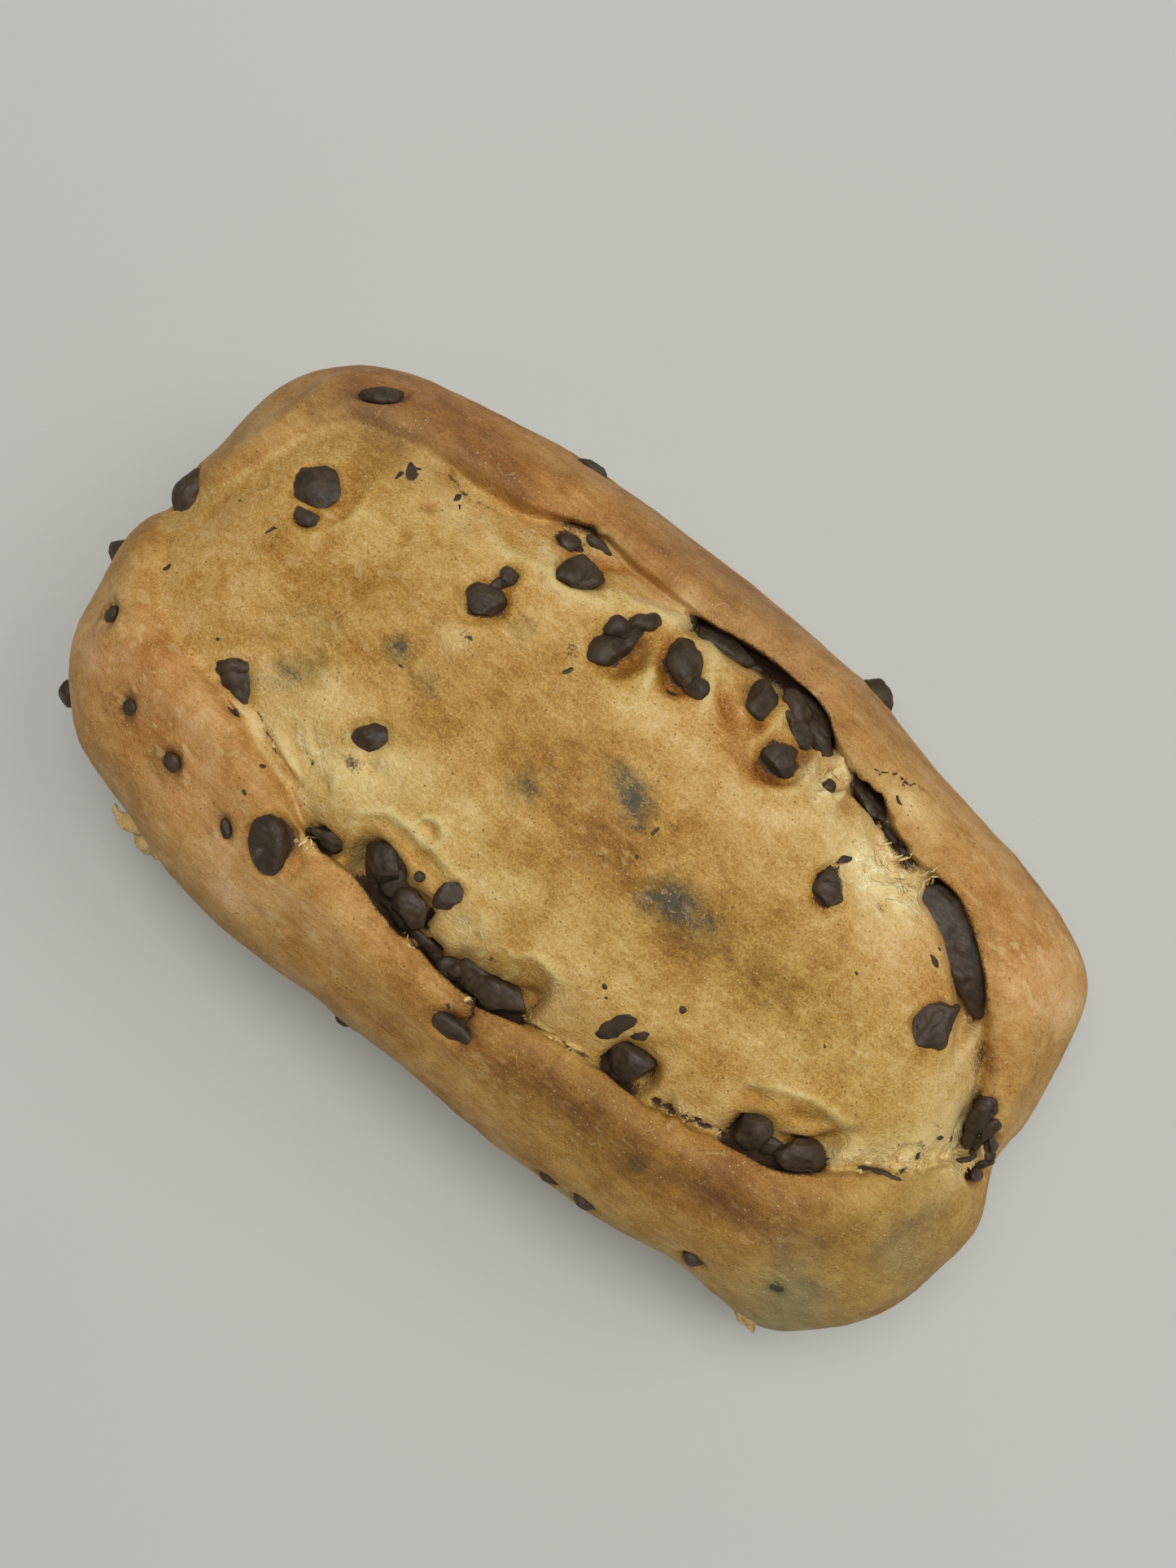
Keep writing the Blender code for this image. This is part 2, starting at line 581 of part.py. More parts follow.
def make_material(name, colour, roughness):
    material = bpy.data.materials.new(name)
    material.use_nodes = True
    shader = material.node_tree.nodes["Principled BSDF"]
    shader.inputs["Base Color"].default_value = colour
    shader.inputs["Roughness"].default_value = roughness
    shader.inputs["Metallic"].default_value = 0.0
    material.diffuse_color = colour
    return material


def main():
    for old in list(bpy.data.objects):
        bpy.data.objects.remove(old, do_unlink=True)
    loaf = make_loaf(make_material("crust", CRUST_COLOUR, CRUST_ROUGHNESS))
    chips = make_chips(make_material("chocolate", CHOCOLATE_COLOUR, CHOCOLATE_ROUGHNESS))
    cut_pockets(loaf, make_cutters(chips))


main()
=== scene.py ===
import itertools
import math
import random

import bmesh
import bpy
import numpy as np
from mathutils import Matrix, Vector
from mathutils.bvhtree import BVHTree


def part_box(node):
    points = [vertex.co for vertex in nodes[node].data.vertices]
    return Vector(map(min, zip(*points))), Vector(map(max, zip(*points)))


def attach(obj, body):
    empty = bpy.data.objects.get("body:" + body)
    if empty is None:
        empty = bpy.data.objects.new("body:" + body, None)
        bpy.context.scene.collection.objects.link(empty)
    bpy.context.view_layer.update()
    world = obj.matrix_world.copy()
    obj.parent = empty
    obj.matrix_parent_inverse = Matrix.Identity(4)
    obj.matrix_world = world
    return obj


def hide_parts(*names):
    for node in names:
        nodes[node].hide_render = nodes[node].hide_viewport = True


# A chocolate chip brioche seen from above: one baked loaf, and the chips melted in its crust.
# Lengths in the dictionaries are millimetres; mm turns them into the frame's metres.

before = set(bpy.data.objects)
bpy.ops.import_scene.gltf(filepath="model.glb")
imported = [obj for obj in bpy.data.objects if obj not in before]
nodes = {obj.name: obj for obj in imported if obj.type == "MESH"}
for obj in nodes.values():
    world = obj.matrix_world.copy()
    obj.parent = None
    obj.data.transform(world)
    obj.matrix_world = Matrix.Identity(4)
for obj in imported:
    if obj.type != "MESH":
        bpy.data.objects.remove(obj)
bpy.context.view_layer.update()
mm = 0.001


# Curves, blends and noise

def smoothStep(value, low, high):
    t = np.clip((value - low) / (high - low), 0.0, 1.0)
    return t * t * (3.0 - 2.0 * t)


def hump(value, centre, reach):
    return np.exp(-((value - centre) / reach) ** 2)


def smoothLine(stations, x):  # a smooth curve through the stations, level past its ends
    xs, ys = np.array(stations, dtype=float).T
    slopes = np.gradient(ys, xs)
    i = np.clip(np.searchsorted(xs, x) - 1, 0, len(xs) - 2)
    span = xs[i + 1] - xs[i]
    t = np.clip((x - xs[i]) / span, 0.0, 1.0)
    start = (1 + 2 * t) * (1 - t) ** 2 * ys[i] + t * (1 - t) ** 2 * span * slopes[i]
    end = t ** 2 * (3 - 2 * t) * ys[i + 1] + t ** 2 * (t - 1) * span * slopes[i + 1]
    return start + end


def wobble(places, size, seed=0):  # smooth noise from -1 to 1 with features of that size
    p = places / np.array(size) + seed * 13.7
    cell = np.floor(p)
    f = p - cell
    f = f * f * (3 - 2 * f)
    total = np.zeros(len(p))
    for corner in itertools.product((0, 1), repeat=3):
        at = (cell + corner) @ np.array((12.9898, 78.233, 37.719))
        value = np.abs(np.sin(at) * 43758.5453) % 1.0
        share = np.prod(np.where(np.array(corner) == 1, f, 1 - f), axis=1)
        total += share * (value * 2 - 1)
    return total


def spots(x, y, patches):  # soft ovals added up: x, y, reach along, reach across, turn, amount
    total = np.zeros_like(x)
    for px, py, along, across, turn, amount in patches:
        c, s = math.cos(math.radians(turn)), math.sin(math.radians(turn))
        a = ((x - px) * c + (y - py) * s) / along
        b = ((y - py) * c - (x - px) * s) / across
        total += amount * np.exp(-(a * a + b * b))
    return total


def lineDistance(x, y, line):  # distance in plan from a chain of points, and how far along it
    best = np.full_like(x, 1e3)
    along = np.zeros_like(x)
    for k, ((ax, ay), (bx, by)) in enumerate(zip(line, line[1:])):
        span = (bx - ax) ** 2 + (by - ay) ** 2
        t = np.clip(((x - ax) * (bx - ax) + (y - ay) * (by - ay)) / span, 0, 1)
        d = np.hypot(x - ax - t * (bx - ax), y - ay - t * (by - ay))
        along = np.where(d < best, (k + t) / (len(line) - 1), along)
        best = np.minimum(best, d)
    return best, along


# Camera, floor and light

print("camera, floor and light")

view = {
    "place": (14.675, -16.233, 518.843), "target": (-6.8, 9.0, 45.0),
    "imageRight": (0.7615, 0.6481, 0.0), "lens": 50.0, "longSide": 36.0,
}

studio = {
    "floorSize": 6.0, "floorColour": (0.528, 0.532, 0.498), "floorDrop": 0.3,
    "skyColour": (0.98, 0.99, 1.0), "skyStrength": 0.20,
    "keyPlace": (0.62, 0.70, 1.45), "keySize": 1.1, "keyPower": 8.6, "keyColour": (1.0, 0.98, 0.95),
    "topPlace": (-0.17, 0.21, 2.55), "topSize": 1.35, "topPower": 40.2,
}


def makeCamera(look):
    place, target = Vector(look["place"]) * mm, Vector(look["target"]) * mm
    back = (place - target).normalized()
    right = Vector(look["imageRight"])
    right = (right - back * right.dot(back)).normalized()
    lens = bpy.data.cameras.new("camera")
    lens.lens = look["lens"]
    lens.sensor_width = look["longSide"]
    lens.clip_start = 0.01
    lens.clip_end = 20.0
    camera = bpy.data.objects.new("camera", lens)
    bpy.context.scene.collection.objects.link(camera)
    turn = Matrix((right, back.cross(right), back)).transposed().to_4x4()
    camera.matrix_world = Matrix.Translation(place) @ turn
    bpy.context.scene.camera = camera


def areaLight(name, place, size, power, colour=(1, 1, 1)):
    lamp = bpy.data.lights.new(name, "AREA")
    lamp.shape = "DISK"
    lamp.size = size
    lamp.energy = power
    lamp.color = colour
    light = bpy.data.objects.new(name, lamp)
    bpy.context.scene.collection.objects.link(light)
    light.location = place
    light.rotation_euler = (-Vector(place)).to_track_quat("-Z", "Y").to_euler()


def makeStudio(look):
    world = bpy.data.worlds.new("paleRoom")
    world.use_nodes = True
    sky = world.node_tree.nodes["Background"]
    sky.inputs["Color"].default_value = (*look["skyColour"], 1)
    sky.inputs["Strength"].default_value = look["skyStrength"]
    bpy.context.scene.world = world
    bpy.context.scene.view_settings.view_transform = "Standard"
    areaLight("keyLight", look["keyPlace"], look["keySize"], look["keyPower"], look["keyColour"])
    areaLight("topLight", look["topPlace"], look["topSize"], look["topPower"])

    bm = bmesh.new()
    bmesh.ops.create_grid(bm, x_segments=4, y_segments=4, size=look["floorSize"] / 2)
    bmesh.ops.translate(bm, vec=(0, 0, -look["floorDrop"] * mm), verts=bm.verts)
    floor = newPiece("floor", bm, paperMaterial(look["floorColour"]), smooth=False)


# Nodes

def newMaterial(name):
    material = bpy.data.materials.new(name)
    material.use_nodes = True
    return material, material.node_tree, material.node_tree.nodes["Principled BSDF"]


def addNode(tree, kind, links=(), **values):  # a node with values set and its inputs linked
    node = tree.nodes.new(kind)
    for key, value in values.items():
        if key in node.bl_rna.properties:
            setattr(node, key, value)
        else:
            node.inputs[key.replace("_", " ")].default_value = value
    for socket, source in links:
        tree.links.new(source, node.inputs[socket])
    return node


def math2(tree, operation, a, b, clamp=False):  # one math node on sockets or numbers
    node = tree.nodes.new("ShaderNodeMath")
    node.operation = operation
    node.use_clamp = clamp
    for socket, value in zip(node.inputs, (a, b)):
        if isinstance(value, (int, float)):
            socket.default_value = value
        else:
            tree.links.new(value, socket)
    return node.outputs[0]


def remap(tree, value, fromLow, fromHigh, toLow=0.0, toHigh=1.0):
    node = addNode(tree, "ShaderNodeMapRange", [(0, value)], interpolation_type="SMOOTHSTEP")
    for socket, number in zip(list(node.inputs)[1:5], (fromLow, fromHigh, toLow, toHigh)):
        socket.default_value = number
    return node.outputs[0]


def around(tree, value, amount):  # a noise turned into a change about 0
    return math2(tree, "MULTIPLY", math2(tree, "SUBTRACT", value, 0.5), amount)


def fromMiddle(tree, value):  # how far a noise is from its middle
    return math2(tree, "ABSOLUTE", math2(tree, "SUBTRACT", value, 0.5), 0.0)


def ridge(tree, value, width):  # 1 along the line where a noise crosses its middle, 0 at that width from it
    return remap(tree, fromMiddle(tree, value), 0.0, width, 1.0, 0.0)


def addUp(tree, parts):  # sockets added up, each times its share
    total = None
    for value, share in parts:
        part = math2(tree, "MULTIPLY", value, share)
        total = part if total is None else math2(tree, "ADD", total, part)
    return total


def mixColour(tree, share, a, b, blend="MIX"):
    node = tree.nodes.new("ShaderNodeMix")
    node.data_type = "RGBA"
    node.blend_type = blend
    for socket, value in ((0, share), (6, a), (7, b)):
        if isinstance(value, (int, float)):
            node.inputs[socket].default_value = value
        elif isinstance(value, tuple):
            node.inputs[socket].default_value = (*value, 1)
        else:
            tree.links.new(value, node.inputs[socket])
    return node.outputs[2]


def noiseOf(tree, coords, size, detail=3.0, roughness=0.55, stretch=(1, 1, 1), shift=0.0):
    # Noise from 0 to 1 on Object coordinates, with features of size millimetres
    spread = addNode(tree, "ShaderNodeMapping", [(0, coords)])
    spread.inputs["Location"].default_value = (shift, shift * 0.7, shift * 0.3)
    spread.inputs["Scale"].default_value = [1000.0 / size / s for s in stretch]
    node = addNode(tree, "ShaderNodeTexNoise", [("Vector", spread.outputs[0])],
                   Scale=1.0, Detail=detail, Roughness=roughness)
    return node.outputs[0]


def cellsOf(tree, coords, size, shift=0.0):  # distance from the nearest of scattered points, 0 to 1
    spread = addNode(tree, "ShaderNodeMapping", [(0, coords)])
    spread.inputs["Location"].default_value = (shift, shift, shift)
    spread.inputs["Scale"].default_value = [1000.0 / size] * 3
    node = addNode(tree, "ShaderNodeTexVoronoi", [("Vector", spread.outputs[0])], Scale=1.0)
    return node.outputs[0]


def attributeOf(tree, name):
    return addNode(tree, "ShaderNodeAttribute", attribute_name=name).outputs["Fac"]


def paperMaterial(colour):
    material, tree, shader = newMaterial("palePaper")
    coords = tree.nodes.new("ShaderNodeTexCoord").outputs["Object"]
    clouds = noiseOf(tree, coords, 260.0, 2.0)
    darker = tuple(c * 0.965 for c in colour)
    tree.links.new(mixColour(tree, clouds, darker, colour), shader.inputs["Base Color"])
    shader.inputs["Roughness"].default_value = 0.9
    shader.inputs["Specular IOR Level"].default_value = 0.2
    return material


crustMarks = ("bake", "tone", "torn", "stain", "under", "skin", "flecked", "paintedShade")  # set at each vertex

crustLook = {
    "bakeStops": (
        (0.0, (0.68, 0.475, 0.190)), (0.2, (0.58, 0.370, 0.105)), (0.4, (0.475, 0.266, 0.052)),
        (0.6, (0.355, 0.170, 0.022)), (0.8, (0.240, 0.101, 0.010)), (1.0, (0.145, 0.053, 0.006)),
    ),
    "redTint": (1.08, 0.92, 1.30), "oliveTint": (0.93, 1.02, 1.02),
    # the hollow crumb colour is painted shade in the hollows of torn crumb
    "crumb": (0.79, 0.625, 0.29), "thread": (0.87, 0.76, 0.46), "crumbShade": (0.60, 0.43, 0.17),
    # the pore colour is painted shade in the pores
    "speck": (0.66, 0.47, 0.21), "poreShade": (0.12, 0.055, 0.018),
    # the stain colour also paints shade in the seam gaps and cracks
    "stain": (0.060, 0.030, 0.017), "veil": (0.60, 0.66, 0.66), "under": (0.056, 0.051, 0.042),
    # the haze colour is a painted sheen on the rolls, and the dusk colour is painted shade
    "paintedSheen": (0.60, 0.45, 0.34), "paintedSheenShare": 0.03, "paintedShade": (0.17, 0.20, 0.135), "paintedShadeShare": 0.6,
    "noises": {  # size, detail, roughness, stretch, shift
        "blotches": (8.5, 7.0, 0.62, (1.0, 1.0, 1.0), 0.0), "mottle": (2.2, 3.0, 0.6, (1.6, 1.0, 1.0), 13.0),
        "grain": (0.48, 3.0, 0.7, (1.0, 1.0, 1.0), 3.0), "flecks": (1.5, 2.0, 0.5, (2.6, 1.6, 1.6), 41.0),
        "fibres": (0.9, 3.0, 0.6, (8.0, 1.0, 1.6), 7.0), "rare": (6.0, 2.0, 0.5, (1.0, 1.0, 1.0), 11.0),
        "curls": (9.0, 1.0, 0.4, (1.0, 1.0, 1.0), 23.0), "webbed": (3.3, 2.0, 0.5, (1.3, 1.0, 1.0), 53.0),
        "creased": (3.0, 4.0, 0.6, (1.8, 1.0, 1.0), 31.0),
    },
    "specks": (1.5, 2.0), "pores": (1.4, 5.0),  # size, shift
    "rollSkin": 0.72, "rollVeins": 0.3,  # the rolls have a smoother skin than the middle
    "blotch": 0.84, "mottle": 0.36, "grain": 1.05, "fibre": 0.30, "vein": 0.09, "fleck": 0.6,
    "veinWidth": 0.05, "curlWidth": 0.012, "webWidth": 0.045,
    "coreShare": 0.84, "curlShare": 0.35, "crumbShadeShare": 0.5, "threadShare": 0.8,
    "roughness": 0.56, "shine": 0.24, "bumpHeight": 0.32, "bumpStrength": 0.8,
    "relief": {"blisters": 0.8, "fibres": 0.5, "mottle": 0.8, "grain": 0.45, "veins": 0.2, "web": 0.9,
               "between": -1.0, "holes": -1.2},
}


def crustMaterial(look):
    material, tree, shader = newMaterial("bakedCrust")
    coords = tree.nodes.new("ShaderNodeTexCoord").outputs["Object"]
    bake, tone, torn, stain, under, skin, flecked, paintedShade = (attributeOf(tree, name) for name in crustMarks)
    noises = {name: noiseOf(tree, coords, *values) for name, values in look["noises"].items()}
    mottle, grain, rare = noises["mottle"], noises["grain"], noises["rare"]
    specks = cellsOf(tree, coords, *look["specks"])
    pores = cellsOf(tree, coords, *look["pores"])

    # How far each spot has baked
    uneven = math2(tree, "ADD", around(tree, mottle, look["mottle"]), around(tree, grain, look["grain"]))
    rough = remap(tree, skin, 0.0, 1.0, 1.0, look["rollSkin"])
    depth = math2(tree, "ADD", bake, around(tree, noises["blotches"], look["blotch"]))
    depth = math2(tree, "ADD", depth, math2(tree, "MULTIPLY", uneven, rough))
    depth = math2(tree, "ADD", depth, around(tree, noises["fibres"], look["fibre"]))
    veins = ridge(tree, noises["creased"], look["veinWidth"])
    veins = math2(tree, "MULTIPLY", veins, remap(tree, skin, 0.0, 1.0, 1.0, look["rollVeins"]))
    depth = math2(tree, "SUBTRACT", depth, math2(tree, "MULTIPLY", veins, look["vein"]))
    ramp = tree.nodes.new("ShaderNodeValToRGB")
    while len(ramp.color_ramp.elements) < len(look["bakeStops"]):
        ramp.color_ramp.elements.new(0.5)
    for element, (at, colour) in zip(ramp.color_ramp.elements, look["bakeStops"]):
        element.position = at
        element.color = (*colour, 1)
    tree.links.new(depth, ramp.inputs[0])
    tint = mixColour(tree, tone, look["oliveTint"], look["redTint"])
    colour = mixColour(tree, 1.0, ramp.outputs[0], tint, "MULTIPLY")

    # Painted sheen on the rolls, painted shade (dusk) low on the sides, and chips that show through from
    # under the skin; the same grey is painted shade on the walls of the hollows beside the chips
    colour = mixColour(tree, math2(tree, "MULTIPLY", skin, look["paintedSheenShare"]), colour, look["paintedSheen"])
    colour = mixColour(tree, math2(tree, "MULTIPLY", paintedShade, look["paintedShadeShare"]), colour, look["paintedShade"])
    # the veil and the core also carry the painted shade on the walls of the hollows beside the chips
    veil = math2(tree, "ADD", under, around(tree, mottle, 0.7))
    veil = math2(tree, "MULTIPLY", remap(tree, veil, 0.0, 0.55), remap(tree, under, 0.0, 0.2))
    colour = mixColour(tree, veil, colour, look["veil"], "MULTIPLY")
    core = math2(tree, "ADD", math2(tree, "ADD", under, around(tree, grain, 1.2)), around(tree, mottle, 1.2))
    core = remap(tree, core, 0.40, 0.92, 0.0, look["coreShare"])
    core = math2(tree, "MULTIPLY", core, remap(tree, under, 0.15, 0.5))
    colour = mixColour(tree, core, colour, look["under"])

    # Pale blisters, curled threads and flecks
    blisters = remap(tree, specks, 0.10, 0.20, 1.0, 0.0)
    blisters = math2(tree, "MULTIPLY", blisters, remap(tree, rare, 0.42, 0.56))
    pale = math2(tree, "MULTIPLY", blisters, remap(tree, bake, 0.2, 0.5, 0.2, 0.7))
    curl = ridge(tree, noises["curls"], look["curlWidth"])
    curl = math2(tree, "MULTIPLY", curl, remap(tree, mottle, 0.52, 0.62, 0.0, look["curlShare"]))
    fleck = remap(tree, noises["flecks"], 0.57, 0.66, 0.0, look["fleck"])
    fleck = math2(tree, "MULTIPLY", fleck, flecked)
    for share in (pale, curl, fleck):
        colour = mixColour(tree, share, colour, look["speck"])

    # Torn crumb: a web of threads with hollows between them, the hollows darkened with painted shade
    openCrumb = math2(tree, "MULTIPLY", torn, remap(tree, mottle, 0.36, 0.54, 0.45, 1.0), True)
    colour = mixColour(tree, openCrumb, colour, look["crumb"])
    web = math2(tree, "MULTIPLY", ridge(tree, noises["webbed"], look["webWidth"]), torn, True)
    between = remap(tree, fromMiddle(tree, noises["webbed"]), 0.07, 0.15)
    between = math2(tree, "MULTIPLY", between, torn, True)
    hollows = math2(tree, "MULTIPLY", between, look["crumbShadeShare"])
    colour = mixColour(tree, hollows, colour, look["crumbShade"])
    colour = mixColour(tree, math2(tree, "MULTIPLY", web, look["threadShare"]), colour, look["thread"])

    # Pores darkened with painted shade, then melted chocolate's stain over everything, which also paints
    # shade in the seam gaps and cracks
    holes = remap(tree, pores, 0.08, 0.17, 1.0, 0.0)
    holes = math2(tree, "MULTIPLY", holes, remap(tree, rare, 0.40, 0.54, 1.0, 0.0))
    holes = math2(tree, "MULTIPLY", holes, remap(tree, torn, 0.1, 0.7, 0.60, 0.35))
    colour = mixColour(tree, holes, colour, look["poreShade"])
    cover = math2(tree, "ADD", stain, around(tree, grain, 0.9))
    cover = math2(tree, "MULTIPLY", remap(tree, cover, 0.28, 0.62), remap(tree, stain, 0.02, 0.2))
    colour = mixColour(tree, cover, colour, look["stain"])
    tree.links.new(colour, shader.inputs["Base Color"])

    raised = {**noises, "blisters": blisters, "veins": veins, "web": web, "between": between, "holes": holes}
    height = addUp(tree, [(raised[name], share) for name, share in look["relief"].items()])
    bump = addNode(tree, "ShaderNodeBump", [("Height", height)],
                   Strength=look["bumpStrength"], Distance=look["bumpHeight"] * mm)
    tree.links.new(bump.outputs[0], shader.inputs["Normal"])
    gloss = remap(tree, noises["blotches"], 0.2, 0.8, look["roughness"] - 0.08, look["roughness"] + 0.12)
    tree.links.new(gloss, shader.inputs["Roughness"])
    shader.inputs["Specular IOR Level"].default_value = look["shine"]
    return material


chocolateLook = {
    "dark": (0.036, 0.0225, 0.0125), "light": (0.068, 0.0440, 0.0260), "dust": (0.130, 0.088, 0.056),
    "roughness": 0.50, "bumpHeight": 0.20, "bumpStrength": 0.6, "shine": 0.26,
}


def chocolateMaterial(look):
    material, tree, shader = newMaterial("meltedChocolate")
    coords = tree.nodes.new("ShaderNodeTexCoord").outputs["Object"]
    clouds = noiseOf(tree, coords, 3.2, 5.0, 0.6)
    flow = noiseOf(tree, coords, 0.9, 4.0, 0.6, stretch=(2.2, 1.0, 1.0), shift=4.0)
    dust = cellsOf(tree, coords, 0.8, 9.0)
    colour = mixColour(tree, remap(tree, clouds, 0.32, 0.68), look["dark"], look["light"])
    dusty = math2(tree, "MULTIPLY", remap(tree, dust, 0.06, 0.2, 0.7, 0.0), remap(tree, clouds, 0.5, 0.65))
    colour = mixColour(tree, dusty, colour, look["dust"])
    tree.links.new(colour, shader.inputs["Base Color"])
    gloss = remap(tree, flow, 0.25, 0.75, look["roughness"] - 0.1, look["roughness"] + 0.14)
    tree.links.new(gloss, shader.inputs["Roughness"])
    height = math2(tree, "ADD", flow, math2(tree, "MULTIPLY", clouds, 1.6))
    bump = addNode(tree, "ShaderNodeBump", [("Height", height)],
                   Strength=look["bumpStrength"], Distance=look["bumpHeight"] * mm)
    tree.links.new(bump.outputs[0], shader.inputs["Normal"])
    shader.inputs["Specular IOR Level"].default_value = look["shine"]
    return material


# Making and finishing pieces

def newPiece(name, bm, material, smooth=True):
    mesh = bpy.data.meshes.new(name)
    bm.to_mesh(mesh)
    bm.free()
    mesh.materials.append(material)
    if smooth:
        mesh.shade_smooth()
    piece = bpy.data.objects.new(name, mesh)
    bpy.context.scene.collection.objects.link(piece)
    return piece


def vertexPlaces(mesh):  # in millimetres
    places = np.zeros(len(mesh.vertices) * 3)
    mesh.vertices.foreach_get("co", places)
    return places.reshape(-1, 3) / mm


def setPlaces(mesh, places):
    mesh.vertices.foreach_set("co", (places * mm).astype(np.float32).ravel())
    mesh.update()


def vertexNormals(mesh):
    normals = np.zeros(len(mesh.vertices) * 3)
    mesh.vertices.foreach_get("normal", normals)
    return normals.reshape(-1, 3)


def setMarks(mesh, marks):  # what the crust's material reads at each vertex; a mark left out is 0
    for name in crustMarks:
        values = np.clip(np.zeros(len(mesh.vertices)) + marks.get(name, 0.0), 0, 1)
        attribute = mesh.attributes.new(name, "FLOAT", "POINT")
        attribute.data.foreach_set("value", values.astype(np.float32))


def finishPiece(piece, slotName, *replaced):
    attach(piece, "root")
    if replaced:
        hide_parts(*replaced)


# The loaf's form, as in the solid that it replaces

loafForm = {
    "halfLength": 118.5, "halfWidth": 64.3, "height": 88.0, "widestHeight": 45.0,
    "planSquareness": 3.5, "domeSquareness": 2.4,
    "midlineOffset": -1.6, "midlineBow": 2.4, "bowCentre": 8.0, "bowReach": 45.0,
    "waist": 0.04, "waistCentre": 58.0, "waistReach": 32.0,
    "endSlant": 6.5, "slantSides": (-11.0, 8.0), "slantFrom": 30.0,
    "notch": 3.0, "notchSide": -1.0, "notchReach": 6.0, "notchFrom": 60.0,
    "swells": (  # x, y, how far out, reach
        (104, 46, 3.2, 13), (76, -58, -4.2, 13), (97, -57, 2.0, 9), (-44, -66, 1.6, 20),
        (-97, -57, 1.2, 10), (-80, -59, -1.2, 10), (-116, 16, -2.2, 16), (-118, -26, -1.4, 9),
        (-82, 57, -1.4, 16), (48, 61, -0.8, 16),
    ),
    "baseTuck": 12.0, "tuckShape": 3.2,
    "footSpread": 5.0, "footReach": 20.0, "footHeights": (22.0, 44.0), "feet": ((99, -46), (-93, -45)),
    "middleReach": 15.0, "rollReach": 7.0, "lipDrop": 0.35,
    "lipStep": 0.6, "lipSoft": 4.0, "softFrom": (44.0, 62.0),
    "crestHeight": 2.6, "crestOffset": 7.0, "crestReach": 6.5,
    "deepens": (-100.0, -35.0), "fades": (88.0, 112.0), "seamsEnd": (0.93, 1.0),
}

upperSeam = {
    "side": 1, "depths": (2.5, 6.5, 3.5),
    "lip": (
        (-115, -1), (-105, 7.4), (-97, 26.8), (-81.7, 36.6), (-61.3, 39.5), (-51.2, 42),
        (-41, 48.1), (-28.8, 48.1), (-12.5, 48.6), (1.8, 50.9), (12, 51.9), (22.1, 50.7),
        (30.3, 45.4), (40.5, 44.6), (52.7, 39.5), (67.9, 38.6), (81.2, 30.1), (91.4, 19.6),
        (98.5, 11), (106.6, 2.3), (116, -4),
    ),
    "openings": (  # start, end, width towards the middle, depth
        (-46, -35, 2.0, 4.0), (-12, 29, 4.6, 8.0), (34, 46, 4.2, 6.5),
        (46, 59, 2.0, 3.5), (60, 88, 7.0, 8.5), (88, 96, 2.2, 3.5), (96, 106, 6.0, 4.5),
    ),
    "ragged": ((-40, 6, 0.7), (37, 6, 0.8), (50, 8, 1.0), (86, 4, 0.8), (102, 5, 0.8)),  # x, reach, size
}

lowerSeam = {
    "side": -1, "depths": (1.2, 6.5, 3.5),
    "lip": (
        (-116, -5), (-107.2, -11.9), (-100, -20.1), (-89.8, -24.6), (-71.5, -26.5),
        (-61.3, -29.2), (-51.2, -33.1), (-43, -37.4), (-28.8, -37.9), (-18.6, -40.2),
        (-8.4, -40.9), (1.8, -41.4), (9.9, -40.8), (20.1, -37.2), (32.3, -35.1),
        (42.5, -34.6), (52.7, -32.3), (64.9, -29.7), (76.1, -26.5), (83.2, -20.6),
        (91.4, -13.7), (97.5, -8.4), (102.5, -1.7), (116, 2),
    ),
    "openings": (
        (-44, -34, 4.0, 6.0), (-33, -11, 9.5, 7.5), (-12, -3, 4.2, 8.0), (-4, 17, 7.5, 7.0),
        (32, 44, 8.5, 5.5), (44, 60, 1.6, 2.5), (60, 82, 8.5, 6.0), (84, 100, 1.6, 2.5),
    ),
    "ragged": ((-41, 3, 1.2), (-12, 4, 1.3), (4.5, 2.5, 1.3), (22, 8, 0.8), (52, 8, 0.8), (91, 8, 1.2)),
}

seamFinish = {
    "endSoftness": (1.5, 3.5), "lipWall": (-0.2, 1.2), "middleWall": (1.4, 2.6),
    "cave": 1.9, "caveAt": -1.3, "caveReach": 1.2, "overhang": 0.8, "overhangAt": 0.5, "overhangReach": 1.0,
    "raggedSizes": (1.9, 0.8), "gap": (-1.2, 2.2),  # the gap's middle and reach, past the lip
}


def planShift(x, y):  # how far a place on the plain rounded oblong moves on the real plan
    f = loafForm
    shiftY = f["midlineOffset"] + f["midlineBow"] * hump(x, f["bowCentre"], f["bowReach"])
    shiftY = shiftY - f["waist"] * y * hump(x, f["waistCentre"], f["waistReach"])
    farEnd = smoothStep(x, f["slantFrom"], f["halfLength"])
    nearEnd = smoothStep(-x, f["notchFrom"], f["halfLength"])
    shiftX = -f["endSlant"] * farEnd * smoothStep(y, *f["slantSides"])
    shiftX = shiftX + f["notch"] * nearEnd * hump(y, f["notchSide"], f["notchReach"])
    for swellX, swellY, out, reach in f["swells"]:
        push = out * hump(np.hypot(x - swellX, y - swellY), 0.0, reach)
        shiftX = shiftX + push * swellX / math.hypot(swellX, swellY)
        shiftY = shiftY + push * swellY / math.hypot(swellX, swellY)
    return shiftX, shiftY


